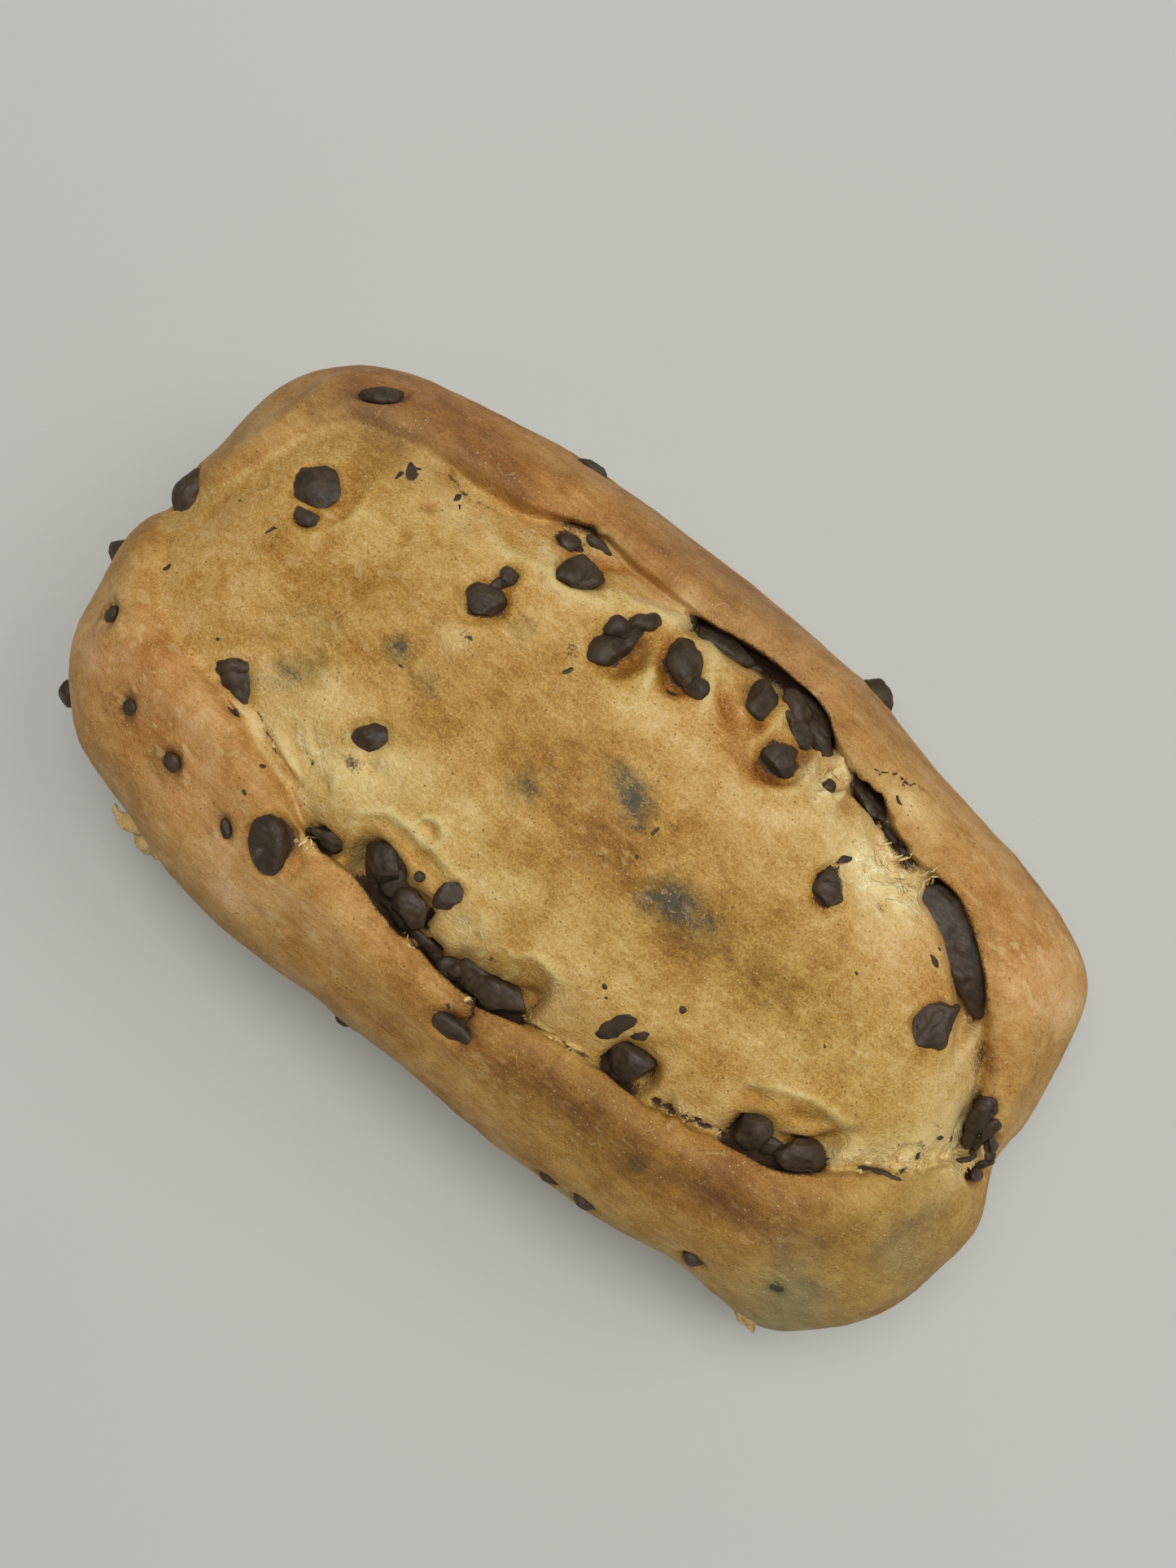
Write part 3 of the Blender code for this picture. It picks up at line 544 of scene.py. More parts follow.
def domePoint(u, w):  # a place on the flat grid, -1 to 1 each way, carried on to the dome
    f = loafForm
    square = f["planSquareness"]
    spread = np.maximum(np.abs(u), np.abs(w))
    even = loafMesh["evenAngle"]
    angle = even * spread + (math.pi / 2 - even) * spread ** 4
    out, up = np.sin(angle), np.clip(np.cos(angle), 0.0, 1.0)
    size = (out ** f["domeSquareness"] + up ** f["domeSquareness"]) ** (1 / f["domeSquareness"])
    reach = out / size
    rim = np.maximum((np.abs(u) ** square + np.abs(w) ** square) ** (1 / square), 1e-9)
    x, y = f["halfLength"] * reach * u / rim, f["halfWidth"] * reach * w / rim
    shiftX, shiftY = planShift(x, y)
    z = f["widestHeight"] + (f["height"] - f["widestHeight"]) * up / size
    return x + shiftX, y + shiftY, z, reach


def raggedLip(seam, x):  # how much the torn edge strays from the smooth lip
    place = np.column_stack((x, np.zeros_like(x), np.full_like(x, seam["side"] * 9.0)))
    rough = sum(wobble(place, size, 21 + k) / (k + 1) for k, size in enumerate(seamFinish["raggedSizes"]))
    amount = 0.12 + sum(size * hump(x, at, reach) for at, reach, size in seam["ragged"])
    return rough * amount


def seamShape(x, y, seam):  # distance past the lip, the height that the seam adds, how far it gapes
    f, finish, lip = loafForm, seamFinish, seam["lip"]
    slope = smoothLine(lip, x + 0.5) - smoothLine(lip, x - 0.5)
    across = np.sqrt(1 + slope ** 2)
    out = seam["side"] * (y - smoothLine(lip, x)) / across
    torn = out + raggedLip(seam, x) * hump(out, 0.0, 3.0)
    shallow, full, far = seam["depths"]
    depth = shallow + (full - shallow) * smoothStep(x, *f["deepens"])
    depth = depth + (far - full) * smoothStep(x, *f["fades"])
    middle = -depth * np.clip(1 + torn / f["middleReach"], 0.0, 1.0) ** 2
    roll = -depth * f["lipDrop"] * np.clip(1 - torn / f["rollReach"], 0.0, 1.0) ** 2
    roll = roll + f["crestHeight"] * hump(torn, f["crestOffset"], f["crestReach"])
    step = f["lipStep"] * (1 + f["lipSoft"] * smoothStep(-x, *f["softFrom"]))
    onRoll = smoothStep(torn / step, -1.0, 1.0)
    relief = middle * (1 - onRoll) + roll * onRoll
    gape = np.zeros_like(x)
    before, after = finish["endSoftness"]
    for start, end, width, drop in seam["openings"]:
        along = smoothStep(x, start - before, start + after)
        along = along * smoothStep(-x, -end - before, -end + after)
        wall = smoothStep(-torn, *finish["lipWall"])
        wall = wall * smoothStep(torn + width, -finish["middleWall"][0], finish["middleWall"][1])
        relief = relief - drop * along * wall
        gape = np.maximum(gape, along * min(drop / 6.0, 1.0))
    direction = np.column_stack((-slope, np.ones_like(slope))) / across[:, None] * seam["side"]
    return torn, relief, gape, direction


def rowPlaces(columns, lip, offset):  # for each column of the grid, where it crosses a line beside the lip
    low, high = np.full_like(columns, -0.97), np.full_like(columns, 0.97)
    for _ in range(24):
        w = (low + high) / 2
        x, y, _, _ = domePoint(columns, w)
        short = y < smoothLine(lip, np.clip(x, -86.0, 86.0)) + offset
        low, high = np.where(short, w, low), np.where(short, high, w)
    return (low + high) / 2


loafMesh = {
    "columns": 336, "rollRows": 44, "middleRows": 76, "rings": 25, "evenAngle": 1.3,
    "hollowCorner": 0.06, "evenSpread": 4, "evenTimes": 12,  # which cells to even out, how wide, how often
    "lipRows": (9.0, 6.8, 5.0, 3.6, 2.5, 1.7, 1.1, 0.7, 0.35, 0.05, -0.25, -0.55, -0.9, -1.3,
                -1.8, -2.5, -3.4, -4.5, -5.8, -7.3, -9.0, -10.8),
}


def gridRows(columns):  # rows across each column, close together beside the two lips
    soft = hump(np.arange(-12, 13), 0.0, 6.0)  # evens out jumps from one column to the next
    soft /= soft.sum()

    def evenRow(lip, offset):
        return np.convolve(np.pad(rowPlaces(columns, lip, offset), 12, "edge"), soft, "valid")

    lower = [evenRow(lowerSeam["lip"], -d) for d in loafMesh["lipRows"]]
    upper = [evenRow(upperSeam["lip"], d) for d in loafMesh["lipRows"]]
    edge = np.ones_like(columns)
    rollSteps = np.linspace(0.0, 1.0, loafMesh["rollRows"] + 1)[:-1]
    middleSteps = np.linspace(0.0, 1.0, loafMesh["middleRows"] + 1)[1:-1]
    rows = [-edge * (1 - t) + lower[0] * t for t in rollSteps] + lower
    rows += [lower[-1] * (1 - t) + upper[-1] * t for t in middleSteps] + upper[::-1]
    rows += [edge * (1 - t) + upper[0] * t for t in rollSteps[::-1]]
    return np.array(rows)


def flankPlace(x, y, z):  # a place on the widest outline carried down to a ring at height z
    f = loafForm
    tuck = f["baseTuck"] * (1 - z / f["widestHeight"]) ** f["tuckShape"]
    near = sum(hump(math.hypot(x - fx, y - fy), 0.0, f["footReach"]) for fx, fy in f["feet"])
    grow = f["footSpread"] * near * (1 - smoothStep(z, *f["footHeights"])) - tuck
    return x * (1 + grow / f["halfLength"]), y * (1 + grow / f["halfWidth"])


# What the crust shows: hollows, folds, cracks, torn places and how far each place has baked

crustRelief = {
    "foldGain": 1.5, "hollowGain": 1.5,
    "waves": ((34.0, 0.55), (12.0, 0.38), (5.0, 0.16), (2.4, 0.07)),  # size, height
    "creases": (11.0, 1.5, 0.13),  # length, width, height of the fine creases along the rolls
    "rags": ((3.2, 1.05), (1.5, 0.45)),  # torn crumb, coarse and fine: size, height
    "holes": (2.4, 0.34, 0.66, 2.0),  # in torn crumb: size, where they start, where they are whole, depth
    "crackStray": (1.5, 0.5), "crackLip": 0.35, "ringWidth": 0.45,
    "gapSmoothness": 0.7, "footFade": (0.0, 5.0),  # heights between which the relief sets in
    "hollows": (  # x, y, reach along, reach across, turn, how deep
        (-66.5, 29.3, 1.8, 1.6, 0, 0.9), (-66.3, 21.1, 2.2, 2.4, 0, 0.5), (-61, 31, 1.6, 0.8, 10, 0.6),
        (-23.1, -21.2, 3.0, 2.0, -10, 1.1), (-80.5, 17, 3.0, 8.0, 20, 0.7), (-13.6, 35, 2.2, 5.5, -8, 2.2),
        (-7.5, 34.8, 4.5, 2.0, -15, 1.5), (20.8, 31.6, 5.5, 2.6, 10, 1.3), (-98.5, 10.5, 3, 1.2, 30, 0.5),
        (59.5, -19.5, 4.0, 3.5, 30, 1.6), (74, -15.2, 7.0, 2.6, 25, 1.9), (29.2, 40.2, 1.7, 1.7, 0, 2.4),
        (-70.2, -28.4, 2.6, 0.9, -12, 1.6), (-65.5, -14.5, 4, 4, 30, 0.8),
        (-38.5, -19.5, 4.0, 3.0, 0, 0.7), (40.2, -24.3, 4.0, 2.2, 30, 1.2),
        (12.5, -30.5, 5.2, 2.8, 12, 1.5), (-23, -26.0, 7.5, 2.4, -8, 1.2), (-70, -38, 12, 4, 10, 0.4),
        (60, -43, 20, 3, 8, 0.5), (-38.8, -43.4, 1.1, 2.2, 10, 1.6), (6.2, 37.6, 5.0, 2.0, -48, 1.3),
        (6.2, -47.6, 5.4, 3.0, 8, 1.3), (-14.8, 34.4, 2.8, 2.6, 0, 0.6), (-5.0, 32.6, 3.0, 2.0, 30, 1.3),
        (-43.5, 24.5, 3.4, 3.0, 0, 0.9), (-33.5, 43.5, 6.0, 1.6, 30, 1.2), (23.5, 40.2, 3.0, 1.8, 20, 1.6),
        (12.8, 38.6, 2.4, 2.0, 0, 1.0), (-74.5, -14.5, 5, 4, 20, 0.7), (33.8, 40.6, 2.2, 1.4, 0, 1.6),
        (37.5, 37.8, 1.6, 1.2, 0, 1.4), (-52.8, -30.2, 4.5, 1.0, -8, 0.8),
        (53.6, 34.6, 2.4, 1.4, -30, 1.5), (47.5, 36.2, 2.6, 1.2, -20, 1.2),
        (58.6, 35.6, 1.8, 1.0, 40, 1.2),
    ),
    "folds": (  # height, half width, chain of points
        (0.75, 1.2, ((-57, 34.5), (-49, 31.8), (-41, 34), (-33, 33), (-24, 38), (-14, 45))),
        (0.7, 1.3, ((-14, 45), (-10, 46.5), (-3, 44.5), (6, 40), (9, 37))),
        (0.6, 1.1, ((14.5, 46), (16, 41), (15, 34), (18, 29.5))),
        (0.8, 1.4, ((27, 43.5), (28.5, 37), (27, 32), (22, 28.5))),
        (0.95, 1.1, ((-37.7, 31.4), (-32, 35.5), (-27, 39.6), (-21, 41.6), (-16, 43.4), (-11, 45.4))),
        (0.95, 1.2, ((-12.5, 45), (-14.0, 39.4), (-9.8, 32), (-7.5, 24.8))),
        (0.9, 1.1, ((-6.4, 46.2), (-2.6, 42.5), (1.2, 37.9), (3.4, 32.3))),
        (0.8, 1.0, ((-45.6, 38.6), (-40.4, 36.9), (-36.6, 32.2))),
        (0.9, 0.8, ((26.2, 42.6), (30.6, 44.4), (34.8, 42.0), (35.6, 38.4), (31.8, 35.6), (28.4, 37.0))),
        (0.9, 0.7, ((41.0, 40.0), (45.4, 37.6), (51.0, 36.4), (56.4, 34.6), (61.4, 36.4))),
        (0.8, 0.7, ((44.0, 34.6), (48.6, 33.6), (53.0, 31.4), (59.0, 32.2), (63.4, 37.6))),
        (0.7, 0.8, ((-70.1, -27.3), (-64.2, -26.6), (-60.8, -29.4), (-55.0, -31.2), (-46.1, -33.0))),
        (0.8, 0.7, ((-66, -24.6), (-59.3, -26.6), (-53.6, -28.6), (-46.1, -29.8), (-41.3, -33.0))),
        (0.6, 0.7, ((-45.2, -22.3), (-43.9, -25.6), (-41.0, -28.6), (-37.0, -30.6))),
        (0.9, 1.0, ((-34, -31), (-36.5, -27), (-31.5, -23), (-22, -22.5), (-13, -24))),
        (0.7, 0.8, ((-26, -22.6), (-25.6, -19.2), (-22, -18.2), (-19.8, -20.4), (-21, -22.8))),
        (0.6, 1.0, ((-68, -24), (-60, -25), (-52, -29), (-46, -33.5))),
        (0.9, 1.0, ((5, -29.5), (9, -25.5), (15.5, -26.5), (18.5, -31))),
        (0.8, 1.2, ((57, -27), (57.5, -18), (64, -14), (70, -11.5), (79, -11.5), (84, -15))),
        (0.6, 0.9, ((-72, -25.6), (-66, -27), (-60, -31))),
        (0.5, 0.9, ((-78, 26), (-76.5, 18), (-81, 8))),
        (0.4, 0.5, ((-47, 6), (-45.8, 1.8), (-45, -1.2))),
        (0.35, 0.5, ((53, 10), (56.2, 7), (58, 11), (57, 13.5))),
        (0.4, 0.6, ((64, 7), (69, 4.5), (71, 0), (70, -3))),
    ),
    "rings": (  # x, y, reach, height: rims of burst bubbles
        (28.9, 42.3, 2.6, 0.8), (-22.5, -20.7, 3.2, 0.5), (-66.3, 21.1, 2.8, 0.25),
        (-66.5, 29.3, 1.9, 0.35), (-14.2, -1.4, 3.4, 0.15), (-98.3, 11.5, 2.4, 0.3),
        (33.0, 38.4, 2.2, 0.6), (4.6, -31.6, 3.6, 0.5), (-39.5, -37.4, 2.6, 0.5),
    ),
    "cracks": (  # depth, half width, chain of points
        (2.6, 0.42, ((4.4, -39.6), (5.8, -42), (6.9, -44), (7.2, -46.6))),
        (1.4, 0.26, ((36.9, 47.4), (39.4, 48.6), (41.4, 49.7), (43.6, 49.7), (45.1, 49.9), (47.4, 51.2))),
        (1.0, 0.3, ((-69, 37.6), (-63, 36.4), (-57, 38))),
        (0.9, 0.3, ((-65, -25), (-61, -27.2), (-57.5, -28.6))),
        (1.7, 0.27, ((14.6, -37.4), (19.2, -37.4), (22, -36.7), (24.8, -36.3), (27.5, -35.7),
                     (31.3, -35.1))),
        (1.5, 0.26, ((45.5, -32.6), (48.1, -31.6), (52.8, -30.7), (57.1, -29.5), (60.4, -28.9))),
        (1.2, 0.26, ((86.2, -16.4), (89.5, -14.6), (93.2, -13.1), (95.8, -9.6))),
        (0.9, 0.35, ((-56.3, -21.6), (-54.4, -22.8), (-52.9, -24.3), (-51, -25.2), (-49.4, -26.4))),
        (0.8, 0.3, ((4, -32.6), (1.2, -31), (-0.6, -29.4))),
    ),
}

crustBake = {  # what bakes the crust, reddens it and stains it, beside the patches below; in the hollows, at the pit walls, in the seam gaps and in the cracks it paints shade, and on the folds a highlight
    "middle": 0.37, "upperRoll": 0.15, "lowerRoll": 0.14, "nearSeam": -0.07, "lipEdge": 0.03,
    "clouds": (16.0, 0.07), "rags": -0.26, "hollowShade": 0.28, "fold": -0.26, "pitWallShade": 0.16,
    "flankHeights": (18.0, 60.0), "flank": 0.34, "flankBands": ((40.0, 40.0, 9.0), 0.10), "foot": 0.25,
    "redClouds": (20.0, 0.12), "hollowShadeRed": 0.24, "redFold": -0.22, "redMiddle": -0.13, "plainFlank": 0.6,
    "gapShadeAndStain": 0.85, "crackShade": 0.65,
}

# Soft ovals added up over the crust: x, y, reach along, reach across, turn, amount
bakePatches = (  # baked further, or less
    (0, 6, 60, 13, 0, 0.13), (2, -3, 15, 8, -5, 0.12), (27, 2, 11, 8, 0, 0.08), (52, 1, 17, 8, 0, 0.10),
    (-57, 6, 14, 9, 0, 0.10), (-86, 4, 7, 9, 0, 0.08), (-22, 20, 12, 8, 30, 0.08),
    (8, -13, 14, 5, 0, 0.06), (15, 27, 26, 7, 0, -0.10), (0, -17, 45, 8, 0, -0.12),
    (50, 24, 22, 9, 0, -0.06), (-60, 28, 20, 8, 0, -0.08), (-48, -22, 16, 7, 0, -0.08),
    (88, 8, 12, 14, 0, -0.10), (70, 22, 9, 6, -30, 0.10), (95, 0, 9, 10, 0, -0.10),
    (-96, -3, 10, 14, 0, -0.05), (14, 33, 9, 4, 0, 0.14), (-8, 36, 5, 4, 0, 0.10), (3, 40, 6, 3, 0, 0.10),
    (-78, 28, 6, 4, 0, 0.06), (-80, 47, 26, 6, 8, 0.16), (-104, 25, 9, 16, 60, -0.10),
    (0, 57, 36, 6, 0, 0.12), (60, 52, 22, 9, -12, -0.12), (98, 35, 14, 16, 0, -0.20),
    (-86, -38, 20, 10, 0, -0.03), (-20, -47, 30, 8, 0, 0.04), (30, -43, 26, 7, 4, 0.22),
    (68, -36, 20, 8, 12, 0.22), (102, -18, 12, 16, 30, -0.08), (96, -46, 10, 7, 0, -0.22),
    (60, -57, 34, 5, 3, -0.12), (-62, 44, 14, 5, 5, 0.10), (46, 46, 8, 4, 0, -0.12),
    (-30, 52, 12, 4, 0, 0.08), (105, 5, 8, 9, 0, -0.15), (-62, -58, 30, 4, 0, -0.08),
    (-110, -35, 8, 14, 0, -0.06), (-88, 36, 10, 6, 0, 0.12), (-62, 43, 14, 6, 5, 0.14),
    (-38, 54, 10, 5, 0, -0.06), (17, 57, 14, 5, 0, -0.10), (46, 52, 12, 6, -10, -0.12),
    (93, 38, 10, 9, 0, -0.10), (-104, -20, 10, 12, 0, -0.08), (-97, -38, 12, 10, 0, -0.10),
    (-70, -36, 12, 6, 0, -0.16), (-65, -49, 12, 6, 0, -0.08), (-46, -54, 14, 8, 0, -0.16),
    (-25, -49, 12, 6, 0, -0.18), (72, -39, 9, 6, 10, 0.18), (90, -30, 9, 8, 0, 0.08),
    (96, -46, 9, 7, 0, 0.24), (-71, 4, 8, 7, 0, 0.20), (-76, -8, 8, 5, 0, -0.05), (-81, 26, 7, 4, 0, 0.12),
    (-60, -15, 9, 6, 0, -0.12), (-37, -4, 8, 6, 0, 0.10), (-16, 14, 8, 5, 0, -0.11),
    (9, -1, 10, 6, 0, 0.11), (30, -7, 9, 6, 0, 0.22), (47, 0, 9, 7, 0, 0.14), (62, 25, 8, 5, -20, -0.27),
    (46, 31, 8, 4, 0, -0.10), (50, -17, 9, 5, 0, 0.14), (-5, -13, 10, 4, 0, 0.18), (5, -20, 8, 4, 0, 0.08),
    (-103, 31, 9, 5, 20, 0.07), (-86, 36, 10, 5, 0, 0.17), (-11, 56, 12, 5, 0, 0.10),
    (-98, -37, 9, 7, 0, -0.06), (-69, -35, 9, 6, 0, -0.05), (-66, -48, 9, 6, 0, -0.05),
    (-48, -55, 11, 6, 0, -0.13), (18, -45, 9, 6, 0, 0.08), (35, -46, 8, 6, 0, 0.04),
    (72, -39, 9, 6, 0, 0.05), (88, -30, 8, 6, 0, 0.05), (106, -24, 8, 9, 0, 0.12),
    (101, -11, 6, 6, 0, 0.08), (-97, 1, 8, 8, 0, 0.04), (-81, 27, 8, 4, 0, 0.07),
    (-61, -15, 8, 6, 0, -0.08), (-12, 9, 10, 6, 45, 0.06), (8, -1, 9, 6, 0, 0.05), (32, 12, 9, 6, 0, 0.07),
    (87, 2, 6, 9, 0, 0.10), (26, -22, 9, 4, 0, 0.09), (50, -17, 9, 4, 0, 0.07),
    (89.5, 10, 3.0, 14, 12, -0.14), (95.0, 16.8, 6.0, 1.0, -43, 0.45), (-4, 17, 16, 6, 20, 0.03),
    (-9, 27, 7, 6, 0, -0.13), (0, 23, 10, 4, 20, -0.09), (-30, 33, 8, 3, 40, -0.10),
    (-36, 26, 6, 5, 0, -0.08), (-20, 44, 8, 2.5, 10, -0.10), (97, -54, 9, 4, -20, -0.10),
    (95, 38, 9, 8, 0, -0.09), (60, -38, 20, 6, 8, 0.07), (1, -2, 11, 7, -10, 0.07),
    (-68, -19, 5, 4, 30, -0.10), (36, -44, 22, 6, 5, 0.04), (62.5, 25, 5, 4, 0, 0.10),
    (-17, 14, 8, 6, 0, 0.06), (14, 20, 8, 5, 0, 0.05), (-86, 36, 9, 5, 0, 0.04), (20, 31, 7, 3, 10, 0.14),
    (-44, 33, 4, 2, 20, 0.10),
)

redPatches = (  # redder, or more olive
    (-75, 48, 34, 11, 8, 0.42), (0, 57, 50, 9, 0, 0.42), (-85, -38, 28, 15, 0, 0.38),
    (-20, -48, 30, 9, 0, 0.20), (78, 48, 26, 14, -25, 0.22), (12, 35, 12, 6, 0, 0.25),
    (70, 22, 12, 8, 0, 0.25), (0, -2, 16, 8, 0, 0.08), (50, -43, 40, 10, 5, -0.22),
    (100, -25, 20, 25, 0, -0.50), (52, 0, 20, 10, 0, -0.22), (0, -17, 45, 8, 0, -0.16),
    (-60, 28, 20, 9, 0, -0.10), (-40, -22, 20, 7, 0, -0.15), (70, -57, 34, 6, 3, -0.3),
    (-95, 0, 12, 20, 0, 0.12), (104, -24, 12, 12, 0, -0.2), (95, -45, 9, 7, 0, -0.2),
    (93, 38, 12, 10, 0, 0.2), (72, 48, 10, 7, 0, 0.1), (-98, -37, 12, 10, 0, 0.35),
    (-66, -45, 16, 8, 5, 0.2), (-57, -52, 18, 8, -10, 0.22), (106, -24, 9, 10, 0, -0.15),
    (96, -46, 9, 7, 0, -0.25), (97, -54, 10, 5, -20, -0.3), (-9, 26, 9, 7, 0, -0.12),
)

tornPatches = (  # open torn crumb
    (50, 31, 8.5, 5.0, -8, 1.25), (58, 31.5, 5, 5, 0, 0.8), (33, 36, 4, 3, 0, 0.5),
    (30, 38.5, 3.6, 3.0, 0, 0.9), (56, 36, 5, 2.5, -20, 0.8), (-40, -19, 8, 6, 0, 0.45),
    (-52, -23, 8, 2.5, -12, 0.55), (23, -35.6, 8, 1.0, 6, 0.45), (53, -29.6, 8, 1.1, 12, 0.5),
    (92, -9, 9, 2.6, 40, 0.7), (-5, -31, 6, 4, 0, 0.45), (-14, 47, 3, 3, 0, 0.6), (33, 44, 4, 2, 0, 0.8),
    (-37, 46.6, 5, 2, 20, 0.5), (103, 1, 4, 6, 0, 0.6), (-60, 31, 5, 3, 0, 0.3), (20, -30, 6, 4, 0, 0.2),
    (100, 5, 3, 8, 20, 0.4), (45.4, 47, 6, 2.2, -5, 0.4), (-44, 11.5, 4, 3, 0, 0.3),
    (-74, 34, 3, 3, 0, 0.2), (82, -17.5, 4, 2, 40, 0.5),
)

stainPatches = (  # stained by melted chocolate, or kept clean
    (-25, 25.5, 2.4, 3.6, 20, 0.45), (-20, 22.5, 3.0, 1.6, 0, 0.35), (-43.5, -20.5, 2.6, 2.0, 0, 0.55),
    (-48.5, -18, 1.4, 3, 0, 0.4), (-43, 13.5, 3.0, 2.0, 0, 0.45), (-9.5, 36, 1.6, 4, 0, 0.30),
    (8.5, 47, 3, 1.5, 0, 0.4), (14.5, 37.5, 1.5, 3, 0, 0.30), (72.5, 10, 1.6, 5, 25, 0.28),
    (28, -23.5, 2.2, 4.0, 0, 0.3), (36, -19.5, 4, 2, 0, 0.18), (93.5, 0.5, 3, 1.5, 0, 0.35),
    (94, -4.5, 3, 1, -30, 0.35), (91, -7, 4, 1.2, 40, 0.4), (66, 30, 7, 1.2, -35, 0.28),
    (44, 14.5, 2, 2, 0, 0.25), (-86, 10.5, 3.0, 1.5, 0, 0.35), (-32, -34.6, 3.6, 2.8, -45, -0.55),
    (-27, 44.5, 1.5, 1.2, 0, 0.35), (50, 37.8, 5, 1.4, -15, 0.4), (-64, 36, 6, 0.8, 0, 0.30),
    (90, 16, 4, 1, -45, 0.12), (-11, -26, 2, 2, 0, 0.25), (60, 52.4, 3, 0.6, -10, 0.2),
)

underPatches = (  # chips that show through from under the skin
    (-51.3, 2.9, 3.0, 3.0, 0, 0.75), (-42.7, 1.5, 4.2, 3.6, 0, 0.42), (-14.2, -1.4, 4.0, 4.4, 0, 0.52),
    (4.1, 10.3, 4.6, 3.6, -20, 0.92), (-1.5, 12.5, 4.0, 2.6, 0, 0.5), (8.5, 6.8, 1.8, 1.8, 0, 0.5),
    (22, -0.5, 4.4, 5.0, 0, 0.74), (30, 0, 7.0, 5.0, 0, 0.56), (18, -3, 2.2, 3.6, 0, 0.3),
    (50, 0, 9, 5, 0, 0.22), (-35.6, 22.2, 4, 4.6, 0, 0.32), (-67, -3, 8, 4, 10, 0.30),
    (-61, -11, 6, 4, 20, 0.34), (-66, -15.5, 3.6, 3.8, 0, 0.52), (-69.5, -20.5, 3.0, 2.4, -20, 0.35),
    (-104.5, -29.5, 3.8, 4.4, -60, 0.5), (-88.2, -41.7, 4.6, 4.4, 0, 0.46),
    (-74, -45.6, 5.6, 4.2, -15, 0.45), (-55.6, -47.8, 4.4, 3.4, -35, 0.4), (-38, -56, 4, 2, -10, 0.25),
    (51.5, -44.8, 2.6, 2.4, 0, 0.6), (90.5, -45.9, 2.4, 1.8, 0, 0.6), (95.5, -41.5, 3, 2.4, 0, 0.3),
    (98, -54.5, 9, 4.5, -20, 0.22), (-40, 37.4, 4, 2.4, 0, 0.30), (-13.5, 36.1, 2.2, 2, 0, 0.24),
    (8.5, -30.7, 3.6, 2.2, 0, 0.34), (-32, -33.6, 3.0, 3.6, 0, 0.45), (-22.5, -20.7, 2.4, 2.4, 0, 0.16),
    (-1, 38, 2, 1.8, 0, 0.2), (-22, -42.8, 3, 1.6, 0, 0.18), (3, -24, 5, 3, 0, 0.14),
    (70, -2, 7, 5, 0, 0.12), (-91, 42, 5, 2.4, 38, 0.35), (-75, -10, 4, 5, 0, 0.15),
    (16, -25, 4, 3, 0, 0.12), (104, -14, 5, 6, 0, 0.12), (-6.5, -30.5, 2.6, 2.6, 0, 0.3),
)

fleckPatches = (  # pale flecks
    (88, 38, 16, 11, -25, 1.0), (60, 50, 16, 7, -15, 0.45), (-98, -28, 18, 18, 0, 0.65),
    (-74, -40, 18, 8, 5, 0.8), (-40, -52, 22, 8, 0, 0.75), (20, -50, 30, 8, 0, 0.4),
    (80, -42, 20, 9, 0, 0.35), (8, 1, 20, 8, 0, 0.5), (-70, 4, 22, 16, 0, 0.55), (-92, 20, 12, 10, 0, 0.4),
)

paintedShadePatches = (  # painted shade: darker, greener crust
    (106, -24, 9, 9, 0, 0.55), (96, -46, 10, 8, 0, 0.75), (99, -55, 9, 5, -20, 0.35),
    (88, -38, 8, 9, 0, 0.25), (102, -11, 6, 6, 0, 0.25), (-88, 36, 26, 8, 8, 0.32),
    (0, 57, 42, 8, 0, 0.26), (-110, 20, 8, 10, 0, 0.2),
)

# Hollows that chips melted in are wider than the chips, and some reach further to one side
pitLook = {
    "gap": 0.35, "depth": 1.5, "deeper": 1.2, "reach": 1.7, "rim": 0.22, "rimReach": 0.9,
    "stain": 0.75, "shade": 0.26, "search": 4.5,  # shade is painted shade on the walls of the hollows beside the chips
    "shifts": {  # along x and y
        "melt_pear": (2.4, -0.6), "melt_twin": (-0.8, -1.6), "chip_left_round": (-0.8, -1.6),
        "chip_upper_middle": (0.8, -1.4), "chip_upper_block": (-1.4, 0.6), "melt_tailed": (1.6, 1.2),
        "melt_smeared": (-1.2, -1.4), "chip_seam_pair_left": (0.6, 2.2), "chip_seam_pair_right": (2.0, 2.4),
        "melt_dimpled": (1.8, 2.6), "chip_seam_middle": (1.8, 1.2), "chip_seam_right_round": (-1.4, 1.8),
        "chip_seam_right_long": (-0.8, 2.0), "chip_right_horned": (-0.8, 0.0),
        "chip_left_large": (0.9, -0.4), "chip_upper_left": (1.6, -0.2), "chip_roll_big_oval": (0.8, 0.8),
        "chip_in_fold": (1.6, 0.8), "chip_roll_sunk_oval": (0.3, 0.5), "chip_right_oval": (0.5, 0.0),
        "chip_seam_left": (1.2, 1.4),
    },
}


def closeness(places, trees):  # how far each place is from the nearest hollow and from the nearest chip
    nearest, contact = np.full((2, len(places)), 50.0)  # below 0 inside it
    search = pitLook["search"]
    for name, tree, low, high in trees:
        shifts = [(0.0, 0.0)]
        if name in pitLook["shifts"]:
            shifts.append(pitLook["shifts"][name])
        for shift in shifts:
            moved = places - np.array((*shift, 0.0))
            inBox = np.all((moved > low - search) & (moved < high + search), axis=1)
            for i in np.flatnonzero(inBox):
                spot = Vector(moved[i])
                at, normal, _, distance = tree.find_nearest(spot)
                if (spot - at).dot(normal) < -0.7 * distance:
                    distance = -distance
                nearest[i] = min(nearest[i], distance)
                if shift == (0.0, 0.0):
                    contact[i] = min(contact[i], distance)
    return nearest, contact


